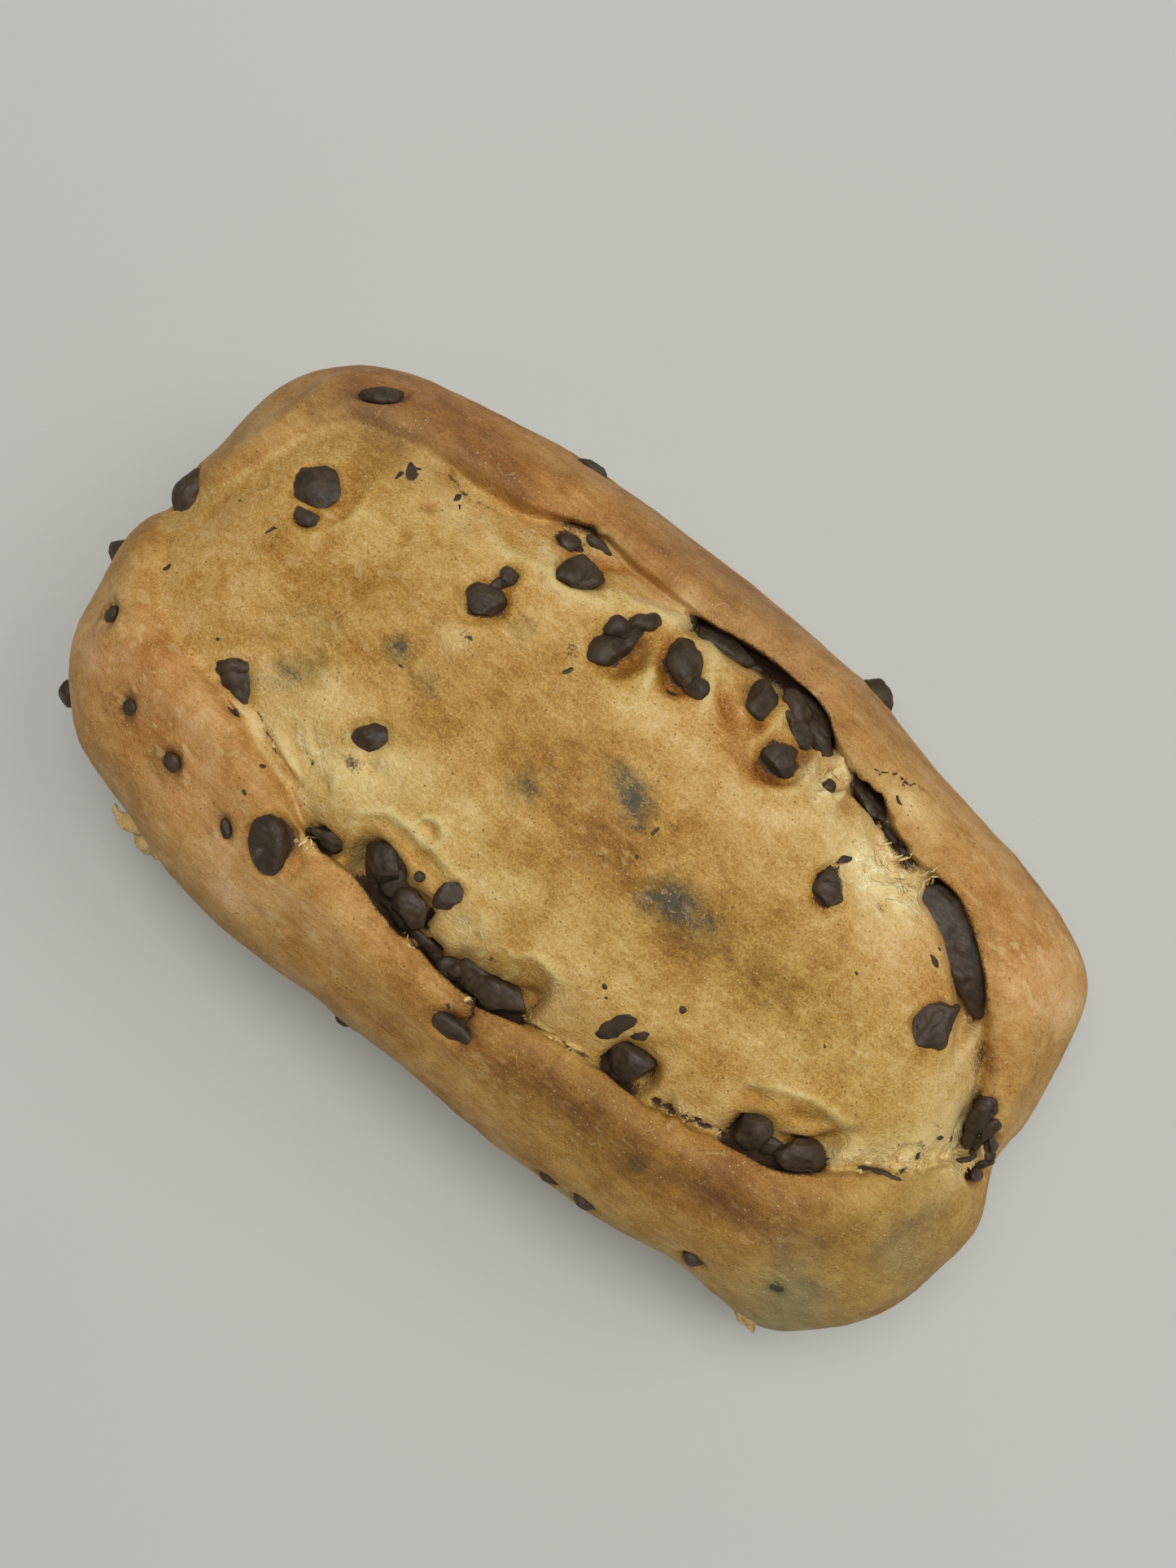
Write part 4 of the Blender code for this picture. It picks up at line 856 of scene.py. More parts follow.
def chipTrees():  # each chip solid as a search tree, in millimetres
    trees = []
    for name, node in nodes.items():
        if name == "loaf":
            continue
        places = vertexPlaces(node.data)
        faces = [tuple(p.vertices) for p in node.data.polygons]
        tree = BVHTree.FromPolygons([Vector(p) for p in places], faces)
        trees.append((name, tree, places.min(0), places.max(0)))
    return trees


def evenOut(bm):  # where cells of the grid have a hollow corner, the places around are evened out
    bent = set()
    for face in bm.faces:
        corners = [loop.vert.co for loop in face.loops]
        turns = [(b - a).xy.cross((c - b).xy) for a, b, c in
                 zip(corners, corners[1:] + corners[:1], corners[2:] + corners[:2])]
        if min(turns) < loafMesh["hollowCorner"] * max(turns):
            bent.update(face.verts)
    for _ in range(loafMesh["evenSpread"]):
        bent.update([edge.other_vert(vert) for vert in list(bent) for edge in vert.link_edges])
    inside = [vert for vert in bent if not vert.is_boundary]
    for _ in range(loafMesh["evenTimes"]):
        bmesh.ops.smooth_vert(bm, verts=inside, factor=0.5,
                              use_axis_x=True, use_axis_y=True, use_axis_z=True)


def makeLoaf(material):
    bm = bmesh.new()
    count = loafMesh["columns"]
    columns = np.linspace(-1, 1, count + 1)
    rows = gridRows(columns)
    bmesh.ops.create_grid(bm, x_segments=count, y_segments=len(rows) - 1, size=1.0)
    flat = np.array([v.co for v in bm.verts])
    column = np.rint((flat[:, 0] + 1) / 2 * count).astype(int)
    row = np.rint((flat[:, 1] + 1) / 2 * (len(rows) - 1)).astype(int)
    x, y, z, reach = domePoint(columns[column], rows[row, column])
    for vert, place in zip(bm.verts, np.column_stack((x, y, z))):
        vert.co = place

    for _ in range(3):
        evenOut(bm)
    outline = bm.verts.layers.float_vector.new("outline")
    for vert in bm.verts:
        vert[outline] = vert.co
    ring = [edge for edge in bm.edges if edge.is_boundary]
    for step in range(1, loafMesh["rings"] + 1):
        ringHeight = loafForm["widestHeight"] * (1 - step / loafMesh["rings"])
        made = bmesh.ops.extrude_edge_only(bm, edges=ring)["geom"]
        ring = [item for item in made if isinstance(item, bmesh.types.BMEdge)]
        for vert in {vert for edge in ring for vert in edge.verts}:
            wide = vert[outline]
            vert.co = (*flankPlace(wide.x, wide.y, ringHeight), ringHeight)
        ring = [edge for edge in ring if edge.is_boundary]
    bmesh.ops.contextual_create(bm, geom=ring)
    bmesh.ops.recalc_face_normals(bm, faces=bm.faces)
    bm.verts.layers.float_vector.remove(outline)
    bmesh.ops.scale(bm, vec=(mm, mm, mm), verts=bm.verts)
    loaf = newPiece("baked_loaf", bm, material)
    shapeCrust(loaf.data, len(x), reach)
    return loaf


def cutSeams(places, onTop, ends):  # moves the places; gives the gaping parts, and how far past each lip
    finish = seamFinish
    x, y, _ = places.T.copy()
    gapes, outs = [], []
    lift = np.zeros(len(places))
    slide = np.zeros((len(places), 2))
    for seam in (upperSeam, lowerSeam):
        out, relief, gape, direction = seamShape(x, y, seam)
        lift += relief * ends
        gape = gape * ends
        move = finish["cave"] * hump(out, finish["caveAt"], finish["caveReach"])
        move -= finish["overhang"] * hump(out, finish["overhangAt"], finish["overhangReach"])
        slide += direction * (move * gape)[:, None]
        gapes.append(gape)
        outs.append(np.where(onTop, out, 40.0))
    places[:, 2] += lift
    places[:, :2] += slide
    inGap = np.maximum(*[g * hump(o, *finish["gap"]) for g, o in zip(gapes, outs)])
    return inGap, outs


def foldHeight(x, y, onTop):  # folds in the skin and rims of burst bubbles
    fold = np.zeros(len(x))
    for height, half, line in crustRelief["folds"]:
        away, along = lineDistance(x, y, line)
        fold += height * hump(away, 0.0, half) * np.sin(math.pi * np.clip(along, 0.03, 0.97)) ** 0.5 * onTop
    for ringX, ringY, ringReach, height in crustRelief["rings"]:
        away = np.hypot(x - ringX, y - ringY)
        fold += height * hump(away, ringReach, crustRelief["ringWidth"]) * onTop
    return fold * crustRelief["foldGain"]


def shapeCrust(mesh, topCount, topReach):
    # The seams are cut in, then all finer relief goes along the surface's own direction
    form = crustRelief
    places, normals = vertexPlaces(mesh), vertexNormals(mesh)
    x, y, z = places.T.copy()
    onTop = np.arange(len(places)) < topCount
    reach = np.ones(len(places))
    reach[:topCount] = topReach
    ends = (1 - smoothStep(reach, *loafForm["seamsEnd"])) * onTop
    inGap, outs = cutSeams(places, onTop, ends)

    nearest, contact = closeness(places, chipTrees())
    pit = smoothStep(-nearest, -pitLook["reach"], pitLook["gap"])
    depth = -pitLook["depth"] * pit - pitLook["deeper"] * smoothStep(-nearest, 0.0, 1.2)
    depth += pitLook["rim"] * hump(nearest, pitLook["reach"], pitLook["rimReach"])

    waves = sum(height * wobble(places, size, 3 + k) for k, (size, height) in enumerate(form["waves"]))
    length, width, creaseHeight = form["creases"]
    creases = -np.abs(wobble(places, (length, width, width * 1.5), 17)) * creaseHeight
    torn = np.clip(spots(x, y, tornPatches) * onTop, 0, 1)
    (coarse, coarseHeight), (fine, fineHeight) = form["rags"]
    rags = torn * (coarseHeight * wobble(places, coarse, 31) + fineHeight * wobble(places, fine, 32))
    holeSize, holeFrom, holeWhole, holeDepth = form["holes"]
    holed = smoothStep(wobble(places, holeSize, 41), holeFrom, holeWhole) * torn
    depth += (waves + creases) * (1 - form["gapSmoothness"] * inGap) + rags - holeDepth * holed
    hollow = spots(x, y, form["hollows"]) * onTop * form["hollowGain"]
    fold = foldHeight(x, y, onTop)
    depth += fold - hollow
    crackDark = np.zeros(len(places))
    straySize, stray = form["crackStray"]
    strayX, strayY = x + stray * wobble(places, straySize, 51), y + stray * wobble(places, straySize, 52)
    for drop, half, line in form["cracks"]:
        away, _ = lineDistance(strayX, strayY, line)
        cut = hump(away, 0.0, half) * onTop
        depth += form["crackLip"] * hump(away, half * 3, half * 1.5) * onTop - drop * cut
        crackDark = np.maximum(crackDark, cut)
    places += normals * (depth * smoothStep(z, *form["footFade"]))[:, None]
    setPlaces(mesh, places)

    look = crustBake
    onUpper, onLower = (smoothStep(o, -0.6, 1.2) for o in outs)
    onRolls = np.maximum(onUpper, onLower)
    flank = 1 - smoothStep(z, *look["flankHeights"])
    nearSeam = sum(hump(o, -5.0, 5.0) * smoothStep(x, -70, -30) for o in outs)
    lipEdge = sum(hump(o, 0.6, 1.0) for o in outs) * smoothStep(x, -60, -35)
    # painted shade in the hollows, stronger on the upper side
    hollowShade = np.clip(hollow, 0, 1.3) * (0.2 + 0.8 * smoothStep(y, 5.0, 20.0))
    size, amount = look["clouds"]
    bake = look["middle"] + look["upperRoll"] * onUpper + look["lowerRoll"] * onLower
    bake += spots(x, y, bakePatches) + look["nearSeam"] * nearSeam + look["lipEdge"] * lipEdge
    bake += amount * wobble(places, size, 61) + look["rags"] * np.clip(rags, -1, 1)
    # darker in the hollows and at the pit walls: painted shade; paler on the folds: painted highlight
    bake += look["hollowShade"] * hollowShade + look["fold"] * fold + look["pitWallShade"] * smoothStep(-nearest, -2.6, 0.0)
    size, amount = look["flankBands"]
    bake = bake * (1 - flank) + flank * (look["flank"] + amount * wobble(places, size, 62))
    bake += look["foot"] * (1 - smoothStep(z, 0.0, 9.0))
    size, amount = look["redClouds"]
    tone = 0.5 + spots(x, y, redPatches) + amount * wobble(places, size, 63)
    # redder with the painted shade in the hollows, more olive with the painted highlight on the folds
    tone += look["hollowShadeRed"] * hollowShade + look["redFold"] * fold + look["redMiddle"] * (1 - onRolls) * onTop
    tone = tone * (1 - look["plainFlank"] * flank) + 0.5 * look["plainFlank"] * flank
    # the seam gaps and the cracks get the stain's dark colour: painted shade, in the gaps partly melted
    # chocolate
    stain = spots(x, y, stainPatches) * onTop + look["gapShadeAndStain"] * inGap + look["crackShade"] * crackDark
    stain += pitLook["stain"] * smoothStep(-contact, -1.0, 0.15)
    # painted shade on the walls of the hollows beside the chips, added to the chips that show through the
    # skin
    shade = pitLook["shade"] * smoothStep(-nearest, -1.2, 0.4) * (1 - smoothStep(-contact, -1.0, 0.2))
    setMarks(mesh, {
        "bake": bake, "tone": tone, "stain": stain,
        "torn": torn * (1 - inGap) * (1 - 0.8 * holed),
        "under": (spots(x, y, underPatches) + shade) * onTop,
        "skin": onRolls * (1 - torn) * onTop + flank * (1 - onTop),
        "flecked": spots(x, y, fleckPatches) * onTop,
        # painted shade at the listed places, fading out below 50 mm up
        "paintedShade": spots(x, y, paintedShadePatches) * smoothStep(z, 20.0, 50.0),
    })


print("loaf")
makeStudio(studio)
makeCamera(view)
crust = crustMaterial(crustLook)
chocolate = chocolateMaterial(chocolateLook)
loaf = makeLoaf(crust)
finishPiece(loaf, "crust", "loaf")


# Chips: each is its solid, merged, made finer, cut angular and given folds of melted chocolate

chipLook = {
    "largeFrom": 6.5, "lumps": (4.2, 0.36), "folds": (3.4, 0.16), "grain": (0.8, 0.08), "dents": (2.8, 0.50),
    "facets": 6, "facetDepth": (0.64, 0.90), "facetShare": 0.88, "growth": 0.42, "flattenShare": 0.75,
    "finer": (3, 2), "smallShare": 0.55,  # subdivisions of large and small chips, relief of small ones
    "grown": {"melt_long": 1.3, "melt_far_end": 0.7, "melt_upper_seam": 0.8, "melt_upper_seam_right": 1.0,
              "chip_rim_notch": 1.0, "chip_rim_ragged": 0.9, "chip_rim_corner": 0.8},
    "sunk": {"chip_roll_almond": 1.7, "chip_roll_sunk_oval": 1.2, "chip_roll_sunk_round": 1.3,
             "chip_roll_end_sliver": 1.1, "chip_roll_dash": 0.4, "chip_left_sliver": 0.5,
             "chip_in_fold": -0.6, "melt_long": -0.8, "chip_rim_notch": -1.4, "chip_rim_ragged": -0.8,
             "chip_rim_corner": -0.8, "chip_roll_big_oval": -0.9, "melt_tailed": -0.7},
    "uncut": ("melt_long", "chip_right_horned", "chip_left_large", "chip_diamond", "chip_rim_notch",
              "melt_tailed", "chip_roll_big_oval", "melt_twin", "chip_roll_almond"),
    "widened": {"melt_long": (-38.0, 1.34, 1.0), "melt_dimpled": (8.0, 1.28, 1.04),  # axis, wider, longer
                "chip_roll_big_oval": (-56.0, 0.84, 1.10), "melt_tailed": (-20.0, 1.15, 1.05)},
    "flattened": {"melt_long": 0.80, "chip_right_horned": 0.78, "chip_left_large": 0.85,
                  "chip_diamond": 0.75},
    "pinched": {"melt_pear": (-17.6, 39.2, 4.2, 43.0, 0.42)},  # x, y, reach, axis, how much narrower
    "hole": {"chip_roll_big_oval": (-46.3, -44.9, 1.5, 2.2)},  # x, y, reach, depth
    "pulls": {  # corners drawn out: x, y, reach, how far along x and y
        "chip_left_large": ((-92.6, 17.6, 2.6, -1.2, 0.4), (-88.0, 22.0, 2.2, 0.2, 1.0),
                            (-83.5, 19.6, 2.4, 1.3, 0.3), (-84.8, 14.6, 2.2, 0.8, -0.6)),
        "chip_left_large_bit": ((-87.0, 11.6, 2.0, -1.2, 0.4), (-82.8, 12.4, 1.6, 1.2, 0.6)),
        "chip_right_horned": ((75.6, 15.9, 1.9, -1.7, 0.3), (78.3, 18.6, 1.6, 0.0, 0.8),
                              (80.4, 19.0, 1.2, 0.5, 2.2), (82.4, 13.3, 1.9, 1.2, -0.2),
                              (78.6, 11.2, 1.9, -0.3, -1.5)),
        "chip_upper_left": ((-36.8, 42.2, 2.0, -0.6, 1.0), (-29.8, 40.4, 2.2, 2.0, 1.0),
                            (-36.6, 36.0, 2.4, -0.9, -0.6)),
        "chip_diamond": ((-13.5, -26.3, 1.2, -0.5, 1.2), (-10.0, -27.2, 1.2, 1.2, 0.3),
                         (-10.1, -29.7, 1.2, 0.6, -0.5), (-12.4, -30.8, 1.2, -0.2, -1.0)),
        "melt_tailed": ((-77.3, -22.2, 2.4, -1.8, -0.4), (-73.0, -18.6, 2.2, 0.2, 1.6),
                        (-68.6, -25.0, 2.6, 1.6, -1.4)),
        "melt_pear": ((-18.0, 39.0, 3.4, 1.4, -0.4), (-19.6, 38.0, 3.0, -1.2, 0.0)),
        "chip_roll_almond": ((2.9, -48.5, 1.5, -1.3, 0.0), (9.0, -47.8, 1.5, 1.2, 0.1)),
        "melt_twin": ((-7.4, 40.0, 3.2, -0.6, 1.6), (-1.4, 36.0, 2.6, 0.6, -0.4)),
        "chip_rim_notch": ((-108.2, 5.4, 2.6, 1.8, 1.6), (-109.6, -3.2, 2.2, 0.8, -1.2)),
        "chip_rim_ragged": ((-115.6, -15.6, 2.2, 1.2, 1.4), (-115.4, -20.6, 2.0, 1.0, -1.2)),
        "chip_seam_left": ((-41.6, -35.6, 2.0, -1.4, -0.6), (-35.4, -34.0, 2.0, 0.8, 0.8)),
        "chip_upper_block": ((9.0, 45.4, 2.0, -0.8, 0.8), (13.4, 41.0, 2.0, 1.0, -0.8)),
    },
}


def cutFacets(places, seed):  # flat sides at chance angles, as on broken and melted chips
    chance = random.Random(seed)
    middle = places.mean(0)
    rel = places - middle
    for _ in range(chipLook["facets"]):
        d = np.array([chance.gauss(0, 1), chance.gauss(0, 1), chance.gauss(0, 0.6)])
        d /= np.linalg.norm(d)
        along = rel @ d
        limit = along.max() * chance.uniform(*chipLook["facetDepth"])
        rel -= np.outer(np.clip(along - limit, 0, None) * chipLook["facetShare"], d)
    return middle + rel


def roughen(places, normals, seed, share):  # lumps, folds, dents and grain of melted chocolate
    size, height = chipLook["lumps"]
    move = height * wobble(places, size, seed)
    size, height = chipLook["folds"]
    move -= height * (1 - np.abs(wobble(places, size, seed + 1)) * 2.4).clip(0, 1) ** 2
    size, height = chipLook["dents"]
    move -= height * smoothStep(wobble(places, size, seed + 5), 0.25, 0.85)
    size, height = chipLook["grain"]
    move += height * wobble(places, size, seed + 2)
    return places + normals * (move * share)[:, None]


def sinkHole(places, name):  # the dimple in a chip's top
    x, y, reach, depth = chipLook["hole"][name]
    places[:, 2] -= depth * hump(np.hypot(places[:, 0] - x, places[:, 1] - y), 0.0, reach)
    return places


def axes(angle):  # directions along and across an angle in plan
    along = np.array((math.cos(math.radians(angle)), math.sin(math.radians(angle)), 0.0))
    return along, np.array((-along[1], along[0], 0.0))


def bendChip(name, places, seed):  # widened, cut angular, flattened, drawn out, pinched and sunk
    look = chipLook
    middle, size = places.mean(0), np.ptp(places, axis=0)
    if name in look["widened"]:
        angle, wider, longer = look["widened"][name]
        along, across = axes(angle)
        for direction, factor in ((across, wider), (along, longer)):
            places = places + np.outer((places - middle) @ direction * (factor - 1), direction)
    if name not in look["uncut"]:
        places = cutFacets(places, seed)
    if name in look["flattened"]:
        limit = places[:, 2].min() + size[2] * look["flattened"][name]
        places[:, 2] -= look["flattenShare"] * np.clip(places[:, 2] - limit, 0, None)
    for x, y, reach, moveX, moveY in look["pulls"].get(name, ()):
        near = hump(np.hypot(places[:, 0] - x, places[:, 1] - y), 0.0, reach)
        places[:, 0] += moveX * near
        places[:, 1] += moveY * near
    if name in look["pinched"]:
        x, y, reach, angle, share = look["pinched"][name]
        across = axes(angle)[1]
        near = hump(np.hypot(places[:, 0] - x, places[:, 1] - y), 0.0, reach)
        places -= np.outer((places - np.array((x, y, 0.0))) @ across * share * near, across)
    places[:, 2] -= look["sunk"].get(name, 0.0)
    return sinkHole(places, name) if name in look["hole"] else places


def makeChip(name, material, seed):
    bm = bmesh.new()
    bm.from_mesh(nodes[name].data)
    bmesh.ops.remove_doubles(bm, verts=bm.verts, dist=0.01 * mm)
    piece = newPiece(name + "_melted", bm, material)
    low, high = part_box(name)
    large = max(high - low) > chipLook["largeFrom"] * mm
    finer = piece.modifiers.new("finer", "SUBSURF")
    finer.levels = finer.render_levels = chipLook["finer"][0 if large else 1]
    smooth = piece.evaluated_get(bpy.context.evaluated_depsgraph_get())
    mesh = bpy.data.meshes.new_from_object(smooth)
    piece.modifiers.clear()
    piece.data = mesh
    mesh.shade_smooth()

    places = vertexPlaces(mesh) + vertexNormals(mesh) * chipLook["grown"].get(name, chipLook["growth"])
    places = bendChip(name, places, seed)
    setPlaces(mesh, places)
    share = 1.0 if large else chipLook["smallShare"]
    setPlaces(mesh, roughen(places, vertexNormals(mesh), seed, share))
    finishPiece(piece, "chocolate", name)


print("chips")
for seed, name in enumerate(sorted(n for n in nodes if n != "loaf")):
    makeChip(name, chocolate, seed)


# Small things on the crust: places are x, y, half length, half width, half height, turn, rise

loafTree = BVHTree.FromPolygons([v.co.copy() for v in loaf.data.vertices],
                                [tuple(p.vertices) for p in loaf.data.polygons])


def crustHeight(x, y):  # the crust's height and direction under a place
    at, normal, _, _ = loafTree.ray_cast(Vector((x * mm, y * mm, 0.12)), Vector((0, 0, -1)))
    return at.z / mm, normal


def addLump(bm, form, detail):  # a flattened ball laid on the crust, its turn kept in plan
    x, y, along, across, thick, turn, rise = form
    z, normal = crustHeight(x, y)
    direction = Vector((math.cos(math.radians(turn)), math.sin(math.radians(turn)), 0))
    direction = (direction - normal * direction.dot(normal)).normalized()
    lay = Matrix((direction, normal.cross(direction), normal)).transposed().to_4x4()
    size = Matrix.Diagonal((along * mm, across * mm, thick * mm, 1))
    move = Matrix.Translation(Vector((x, y, z + rise)) * mm)
    bmesh.ops.create_icosphere(bm, subdivisions=detail, radius=1.0, matrix=move @ lay @ size)


def addStrand(bm, chain, thick, flat, sides=8, steps=14):  # a long bead bent along a chain of places
    ball = bmesh.ops.create_uvsphere(bm, u_segments=sides, v_segments=steps, radius=1.0)["verts"]
    chain = [Vector(c) for c in chain]
    for vert in ball:
        t = (vert.co.z + 1) / 2 * (len(chain) - 1)
        k = min(int(t), len(chain) - 2)
        a, b = chain[k], chain[k + 1]
        along = (b - a).normalized()
        side = along.cross(Vector((0, 0, 1))).normalized()
        up = side.cross(along)
        spine = a.lerp(b, t - k)
        vert.co = (spine + side * vert.co.x * thick + up * vert.co.y * thick * flat) * mm


chocolateBits = {
    "kinds": {  # detail, share of the chips' relief, size and amount of stray in plan, its seed
        "melted": (4, 1.0, 2.3, 0.7, 74), "lobes": (4, 0.6, 2.3, 0.7, 74),
        "ovals": (5, 0.5, 2.3, 0.0, 74), "smears": (3, 0.0, 1.1, 0.45, 72),
    },
    "melted": (
        (-25.4, -30.0, 4.4, 3.4, 2.2, 0, 1.5), (-22.6, -33.4, 5.2, 4.2, 2.5, -45, 2.0),
        (-18.6, -37.0, 4.8, 2.6, 2.0, -30, 1.2), (-14.0, -37.6, 3.8, 2.0, 1.7, -30, 0.8),
        (-10.2, -38.2, 3.6, 1.5, 1.2, -20, 0.3), (-6.6, -38.9, 3.2, 1.4, 1.1, -8, 0.3),
        (-1.4, -38.5, 4.8, 2.5, 1.9, 2, 0.9), (3.2, -37.4, 5.8, 4.0, 2.4, 8, 1.4),
        (10.4, -37.2, 4.6, 2.2, 1.6, 10, 0.6), (-10.6, 47.4, 2.6, 1.0, 0.8, 10, 0.5),
        (-4.4, 47.4, 6.4, 2.4, 1.7, 8, 0.8), (4.2, 49.0, 3.4, 1.2, 0.9, 5, 0.2),
        (8.8, 49.6, 2.6, 0.8, 0.6, 0, 0.0), (17.6, 46.8, 5.4, 3.2, 2.2, -12, 1.0),
        (23.6, 45.4, 5.0, 3.0, 2.2, -32, 1.1), (38.4, 43.2, 4.2, 2.2, 1.5, -24, 0.7),
        (43.8, 41.7, 3.8, 1.9, 1.3, -18, 0.5), (48.6, 40.3, 3.8, 1.6, 1.1, -18, 0.3),
        (52.6, 39.0, 2.8, 1.2, 0.9, -25, 0.2), (104.2, 6.4, 5.0, 1.8, 1.4, -54, 0.8),
        (107.4, 4.4, 3.6, 1.2, 1.0, -62, 0.6), (108.5, 0.6, 3.2, 0.9, 0.8, -80, 0.5),
        (105.6, 2.0, 3.4, 1.2, 0.9, -62, 0.5), (100.4, 11.6, 2.6, 1.3, 1.0, -60, 0.5),
        (104.7, -0.8, 3.0, 0.8, 0.6, 72, 0.3), (70.0, -24.6, 3.4, 2.0, 1.4, 10, 0.6),
    ),
    "lobes": (
        (-17.6, 39.4, 4.3, 1.9, 1.7, 43, 0.8), (-20.8, 35.2, 2.8, 2.5, 2.0, 20, 1.4),
        (-44.8, 26.0, 2.8, 1.7, 1.3, 75, 0.5), (-35.6, 46.8, 3.6, 1.3, 0.9, 25, 0.4),
        (-39.6, 43.2, 2.6, 1.4, 1.0, 20, 0.4), (-0.8, 35.9, 2.9, 2.6, 1.9, 20, 0.9),
        (17.6, 44.2, 1.7, 1.2, 1.0, 0, 0.6), (81.6, 20.8, 1.5, 0.9, 0.8, 50, 0.9),
        (44.0, 28.4, 1.7, 0.8, 0.6, 50, 0.5), (-42.2, -36.6, 1.6, 0.8, 0.6, 10, 0.4),
        (-18.4, -29.2, 1.1, 0.8, 0.6, 30, 0.5), (32.4, 38.6, 1.1, 0.9, 0.6, 0, 0.3),
        (-75.2, -21.4, 3.9, 2.2, 1.8, 43, 0.9), (39.0, -27.0, 2.0, 1.2, 1.0, -30, 0.8),
        (78.8, -19.2, 1.8, 1.0, 0.9, 30, 0.6), (-68.6, -28.0, 1.5, 0.6, 0.4, -15, 0.1),
    ),
    "ovals": (
        (-46.2, -43.8, 6.5, 4.4, 2.6, -46, 0.9),
    ),
    "smears": (
        (-74.6, 33.6, 3.6, 1.5, 0.22, 110, 0.0), (-75.8, 30.4, 1.3, 0.5, 0.2, 85, 0.05),
        (-63.7, 34.4, 1.3, 0.5, 0.2, 100, 0.0), (-61.9, 33.6, 0.9, 0.35, 0.2, 110, 0.0),
        (-4.0, 31.9, 1.7, 0.9, 0.35, -15, 0.1), (30.6, -26.2, 4.6, 1.9, 0.25, 70, 0.0),
        (35.4, -24.6, 2.2, 0.9, 0.22, 70, 0.0), (29.6, -29.6, 1.4, 0.8, 0.25, 40, 0.0),
        (38.5, -15.0, 0.7, 0.6, 0.35, 0, 0.1), (23.6, -21.6, 0.6, 0.5, 0.3, 0, 0.1),
        (25.2, -23.0, 0.4, 0.3, 0.2, 0, 0.0), (71.0, 24.9, 1.6, 0.6, 0.3, -15, 0.15),
        (70.2, 27.6, 0.6, 0.4, 0.2, 0, 0.0), (45.1, 45.6, 1.2, 0.5, 0.3, -10, 0.05),
        (-39.8, 48.7, 4.4, 0.45, 0.35, -22, 0.05), (90.5, -45.9, 1.4, 0.9, 0.6, 0, 0.1),
        (91.2, -13.8, 3.4, 0.8, 0.5, 12, 0.2), (88.0, -15.2, 1.4, 0.5, 0.3, 20, 0.1),
        (94.8, -6.4, 1.2, 0.4, 0.3, -40, 0.1), (96.3, -0.9, 1.3, 0.5, 0.3, 10, 0.05),
        (98.8, 0.4, 0.7, 0.4, 0.2, 0, 0.0), (-101.6, -14.7, 1.2, 0.6, 0.3, 60, 0.0),
        (-69.6, -28.4, 2.2, 0.7, 0.4, -12, -0.1), (-82.1, -19.2, 0.6, 0.4, 0.2, 0, 0.0),
        (-56.5, -38.7, 0.6, 0.5, 0.25, 0, 0.0), (-57.0, -32.6, 0.7, 0.4, 0.2, 40, 0.0),
        (-48.9, 0.6, 0.5, 0.3, 0.2, 0, 0.0), (-88.4, 5.2, 1.4, 0.4, 0.25, 60, 0.0),
        (-99.2, 5.6, 0.4, 0.3, 0.2, 0, 0.0), (-22.6, 21.4, 1.2, 0.5, 0.2, 60, 0.0),
        (-42.0, 13.9, 0.6, 0.4, 0.2, 0, 0.0), (12.0, 2.2, 0.5, 0.35, 0.2, 0, 0.0),
        (11.4, 8.2, 0.8, 0.4, 0.2, 80, 0.0), (64.6, -2.0, 0.4, 0.3, 0.2, 0, 0.0),
        (2.4, -44.9, 0.5, 0.4, 0.2, 0, 0.0), (37.8, 47.8, 0.8, 0.17, 0.2, 28, 0.0),
        (39.3, 48.4, 0.7, 0.16, 0.2, 22, 0.0), (40.8, 49.4, 0.9, 0.2, 0.2, 32, 0.0),
        (42.6, 49.8, 0.7, 0.17, 0.2, 5, 0.0), (44.0, 49.7, 0.7, 0.2, 0.2, -6, 0.0),
        (45.2, 50.2, 0.8, 0.22, 0.2, 30, 0.0), (46.8, 51.0, 0.9, 0.2, 0.2, 25, 0.0),
        (60.4, 12.6, 0.4, 0.3, 0.2, 0, 0.0), (86.0, 24.6, 1.6, 0.8, 0.7, -50, 0.3),
    ),
}


def makeBits(look, material):
    for kind, (detail, share, straySize, stray, seed) in look["kinds"].items():
        bm = bmesh.new()
        for form in look[kind]:
            addLump(bm, form, detail)
        piece = newPiece("chocolate_" + kind, bm, material)
        places = vertexPlaces(piece.data)
        if share:
            places = roughen(places, vertexNormals(piece.data), 71, share)
        if kind == "ovals":
            places = sinkHole(places, "chip_roll_big_oval")
        for axis in (0, 1):
            places[:, axis] += stray * wobble(places, straySize, seed + axis)
        setPlaces(piece.data, places)
        finishPiece(piece, "chocolate")


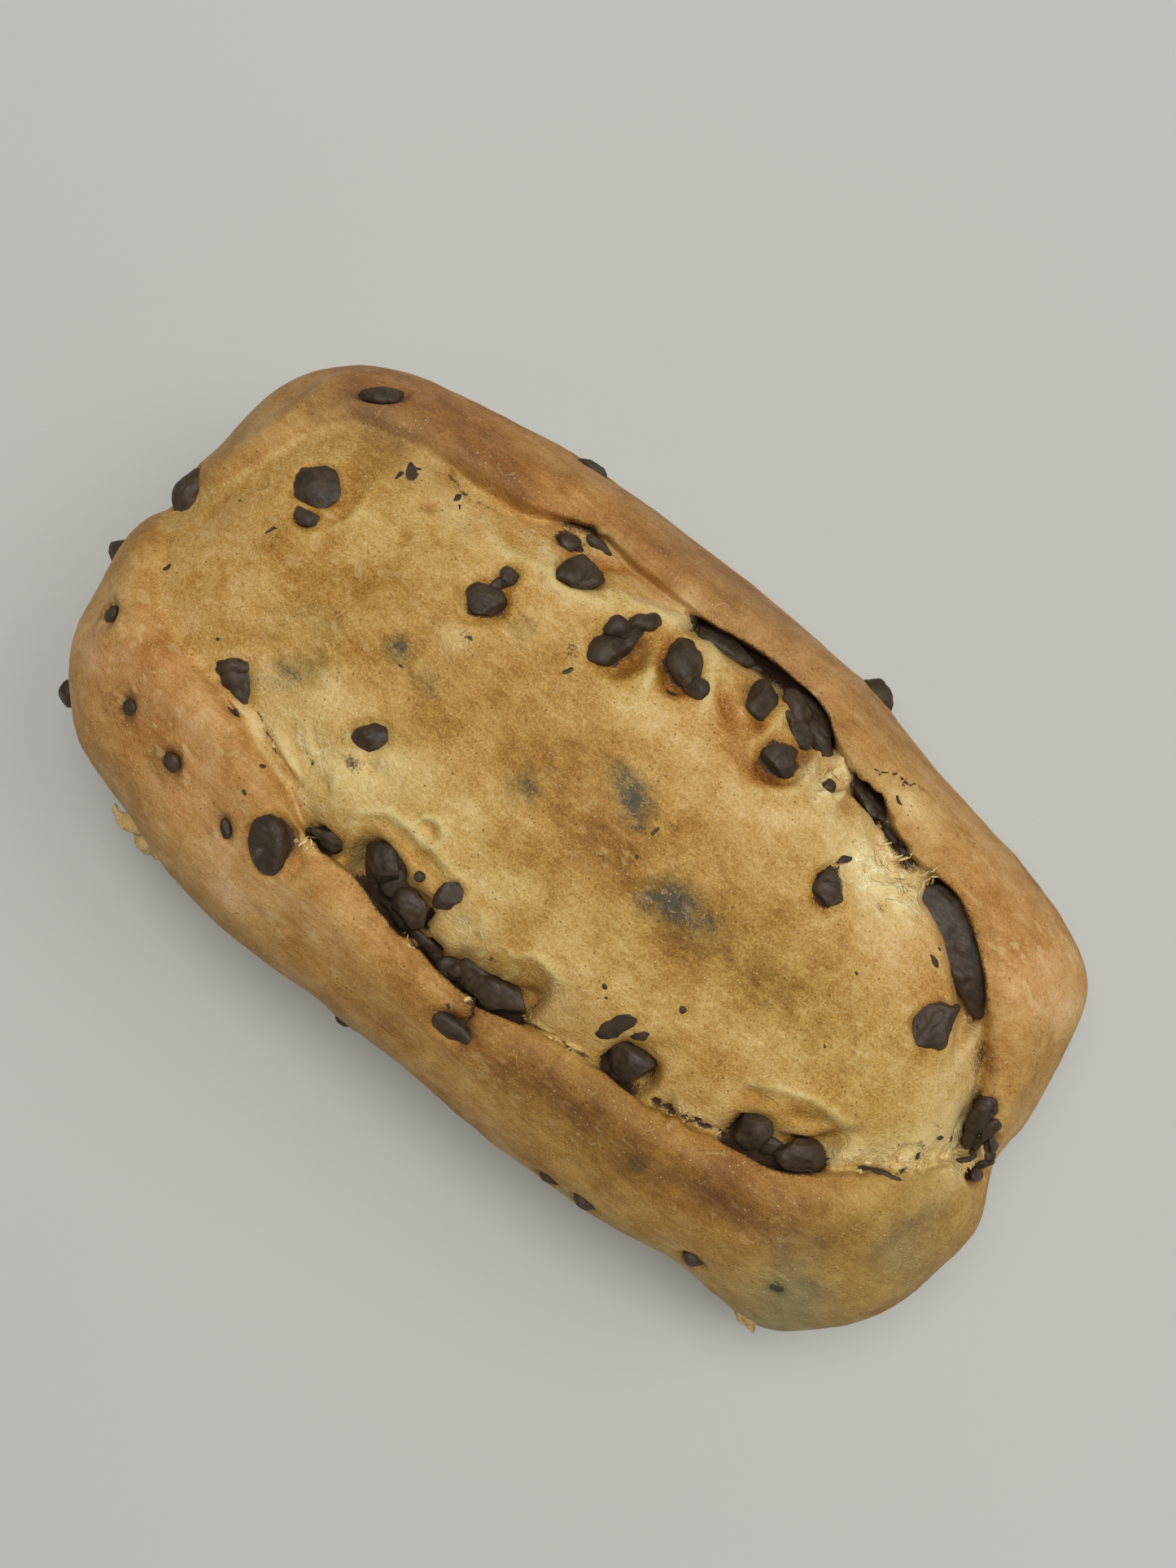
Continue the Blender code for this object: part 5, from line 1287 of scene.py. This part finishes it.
crumbBits = {
    "length": (0.5, 1.2), "width": (0.22, 0.5), "thickness": (0.10, 0.20), "rise": 0.03,  # of each flake
    "stray": (0.6, 0.6, 0.3), "lowStray": 1.0, "strandFlatness": 0.7,
    "fields": (  # x, y, reach along, reach across, turn, how many, size
        (49, 33.5, 8, 3.2, -8, 14, 1.6), (31, 40.5, 3.6, 2.6, 20, 6, 1.2),
        (86.4, 22.4, 1.4, 1.6, 0, 7, 0.8), (-41.0, -38.9, 2.6, 0.8, 10, 12, 0.8),
        (-13.0, -39.4, 2.4, 0.9, -30, 10, 1.2), (4.6, -40.6, 1.2, 1.8, 0, 9, 1.1),
        (15.4, -36.6, 2.4, 0.6, 0, 6, 0.9), (92.0, -10.0, 6.0, 1.6, 45, 14, 1.1),
        (106.2, -0.8, 2.6, 1.6, 0, 12, 1.1), (54.0, -30.2, 8.0, 0.6, 12, 10, 0.8),
        (24.0, -36.4, 7.0, 0.5, 8, 9, 0.8), (-60.0, -27.4, 4.0, 0.9, -20, 6, 0.9),
        (-37.0, 46.8, 3.4, 0.9, 25, 6, 0.8), (60.0, 38.2, 3.0, 1.2, -20, 8, 1.0),
        (88.0, -16.0, 4.0, 0.8, 25, 8, 0.9), (-33.6, 46.9, 2.4, 0.8, 10, 5, 0.9),
    ),
    "strands": (  # half thickness, rise of the middle, then start, middle and end
        (0.20, 0.4, ((52.6, 34.8), (53.6, 37.4), (54.6, 40.4))),
        (0.18, 0.4, ((60.4, 34.2), (59.4, 36.8), (61.2, 39.4))),
        (0.14, 0.4, ((57.6, 36.4), (59.4, 38.8), (59.8, 41.2))),
        (0.18, 0.3, ((-42.8, -39.6), (-41.4, -37.9), (-39.6, -36.4))),
    ),
    "ragged": (  # pale torn dough low on the side: x, y, z, half length, half width, half height, turn
        (-81.4, -62.8, 38.8, 2.6, 1.0, 1.4, -20), (-78.0, -62.0, 38.2, 3.4, 2.4, 2.4, 6),
        (-73.6, -63.0, 37.0, 3.8, 2.6, 2.8, 5), (-69.2, -63.2, 35.8, 3.4, 1.8, 2.6, 0),
        (94.6, -56.4, 34.0, 3.6, 1.8, 2.4, -30), (97.0, -57.6, 33.4, 2.0, 1.0, 1.4, -50),
    ),
}


def makeCrumbs(look, material):
    chance = random.Random(5)
    bm = bmesh.new()
    for x, y, reachX, reachY, turn, count, size in look["fields"]:
        c, s = math.cos(math.radians(turn)), math.sin(math.radians(turn))
        for _ in range(count):
            a, b = (max(-1.0, min(1.0, chance.gauss(0, 0.5))) * reach for reach in (reachX, reachY))
            along = size * chance.uniform(*look["length"])
            form = (x + a * c - b * s, y + a * s + b * c, along, along * chance.uniform(*look["width"]),
                    along * chance.uniform(*look["thickness"]), chance.uniform(0, 180), look["rise"] * size)
            addLump(bm, form, 2)
    for thick, rise, chain in look["strands"]:
        start, (x, y, z), end = [(x, y, crustHeight(x, y)[0]) for x, y in chain]
        middle = (x, y, max(z + 0.1, max(start[2], end[2]) - 1.2) + rise)
        addStrand(bm, (start, middle, end), thick, look["strandFlatness"])
    for x, y, z, along, across, thick, turn in look["ragged"]:
        size = Matrix.Diagonal((along * mm, across * mm, thick * mm, 1))
        spin = Matrix.Rotation(math.radians(turn), 4, "Z")
        move = Matrix.Translation(Vector((x, y, z)) * mm)
        bmesh.ops.create_icosphere(bm, subdivisions=3, radius=1.0, matrix=move @ spin @ size)
    crumbs = newPiece("torn_crumbs", bm, material)
    places = vertexPlaces(crumbs.data)
    for axis, stray in enumerate(look["stray"]):
        places[:, axis] += stray * wobble(places, 0.9, 81 + axis)
    low = 1 - smoothStep(places[:, 2], 40.0, 50.0)  # the ragged dough low on the side strays more
    for axis in range(3):
        places[:, axis] += look["lowStray"] * low * wobble(places, 3.0, 91 + axis)
    setPlaces(crumbs.data, places)
    bake = 0.22 + 0.16 * wobble(places, 3.0, 84)
    setMarks(crumbs.data, {"bake": bake, "tone": 0.35, "torn": 0.50 - 0.15 * low})
    finishPiece(crumbs, "crust")


print("chocolate bits and torn crumbs")
makeBits(chocolateBits, chocolate)
makeCrumbs(crumbBits, crust)
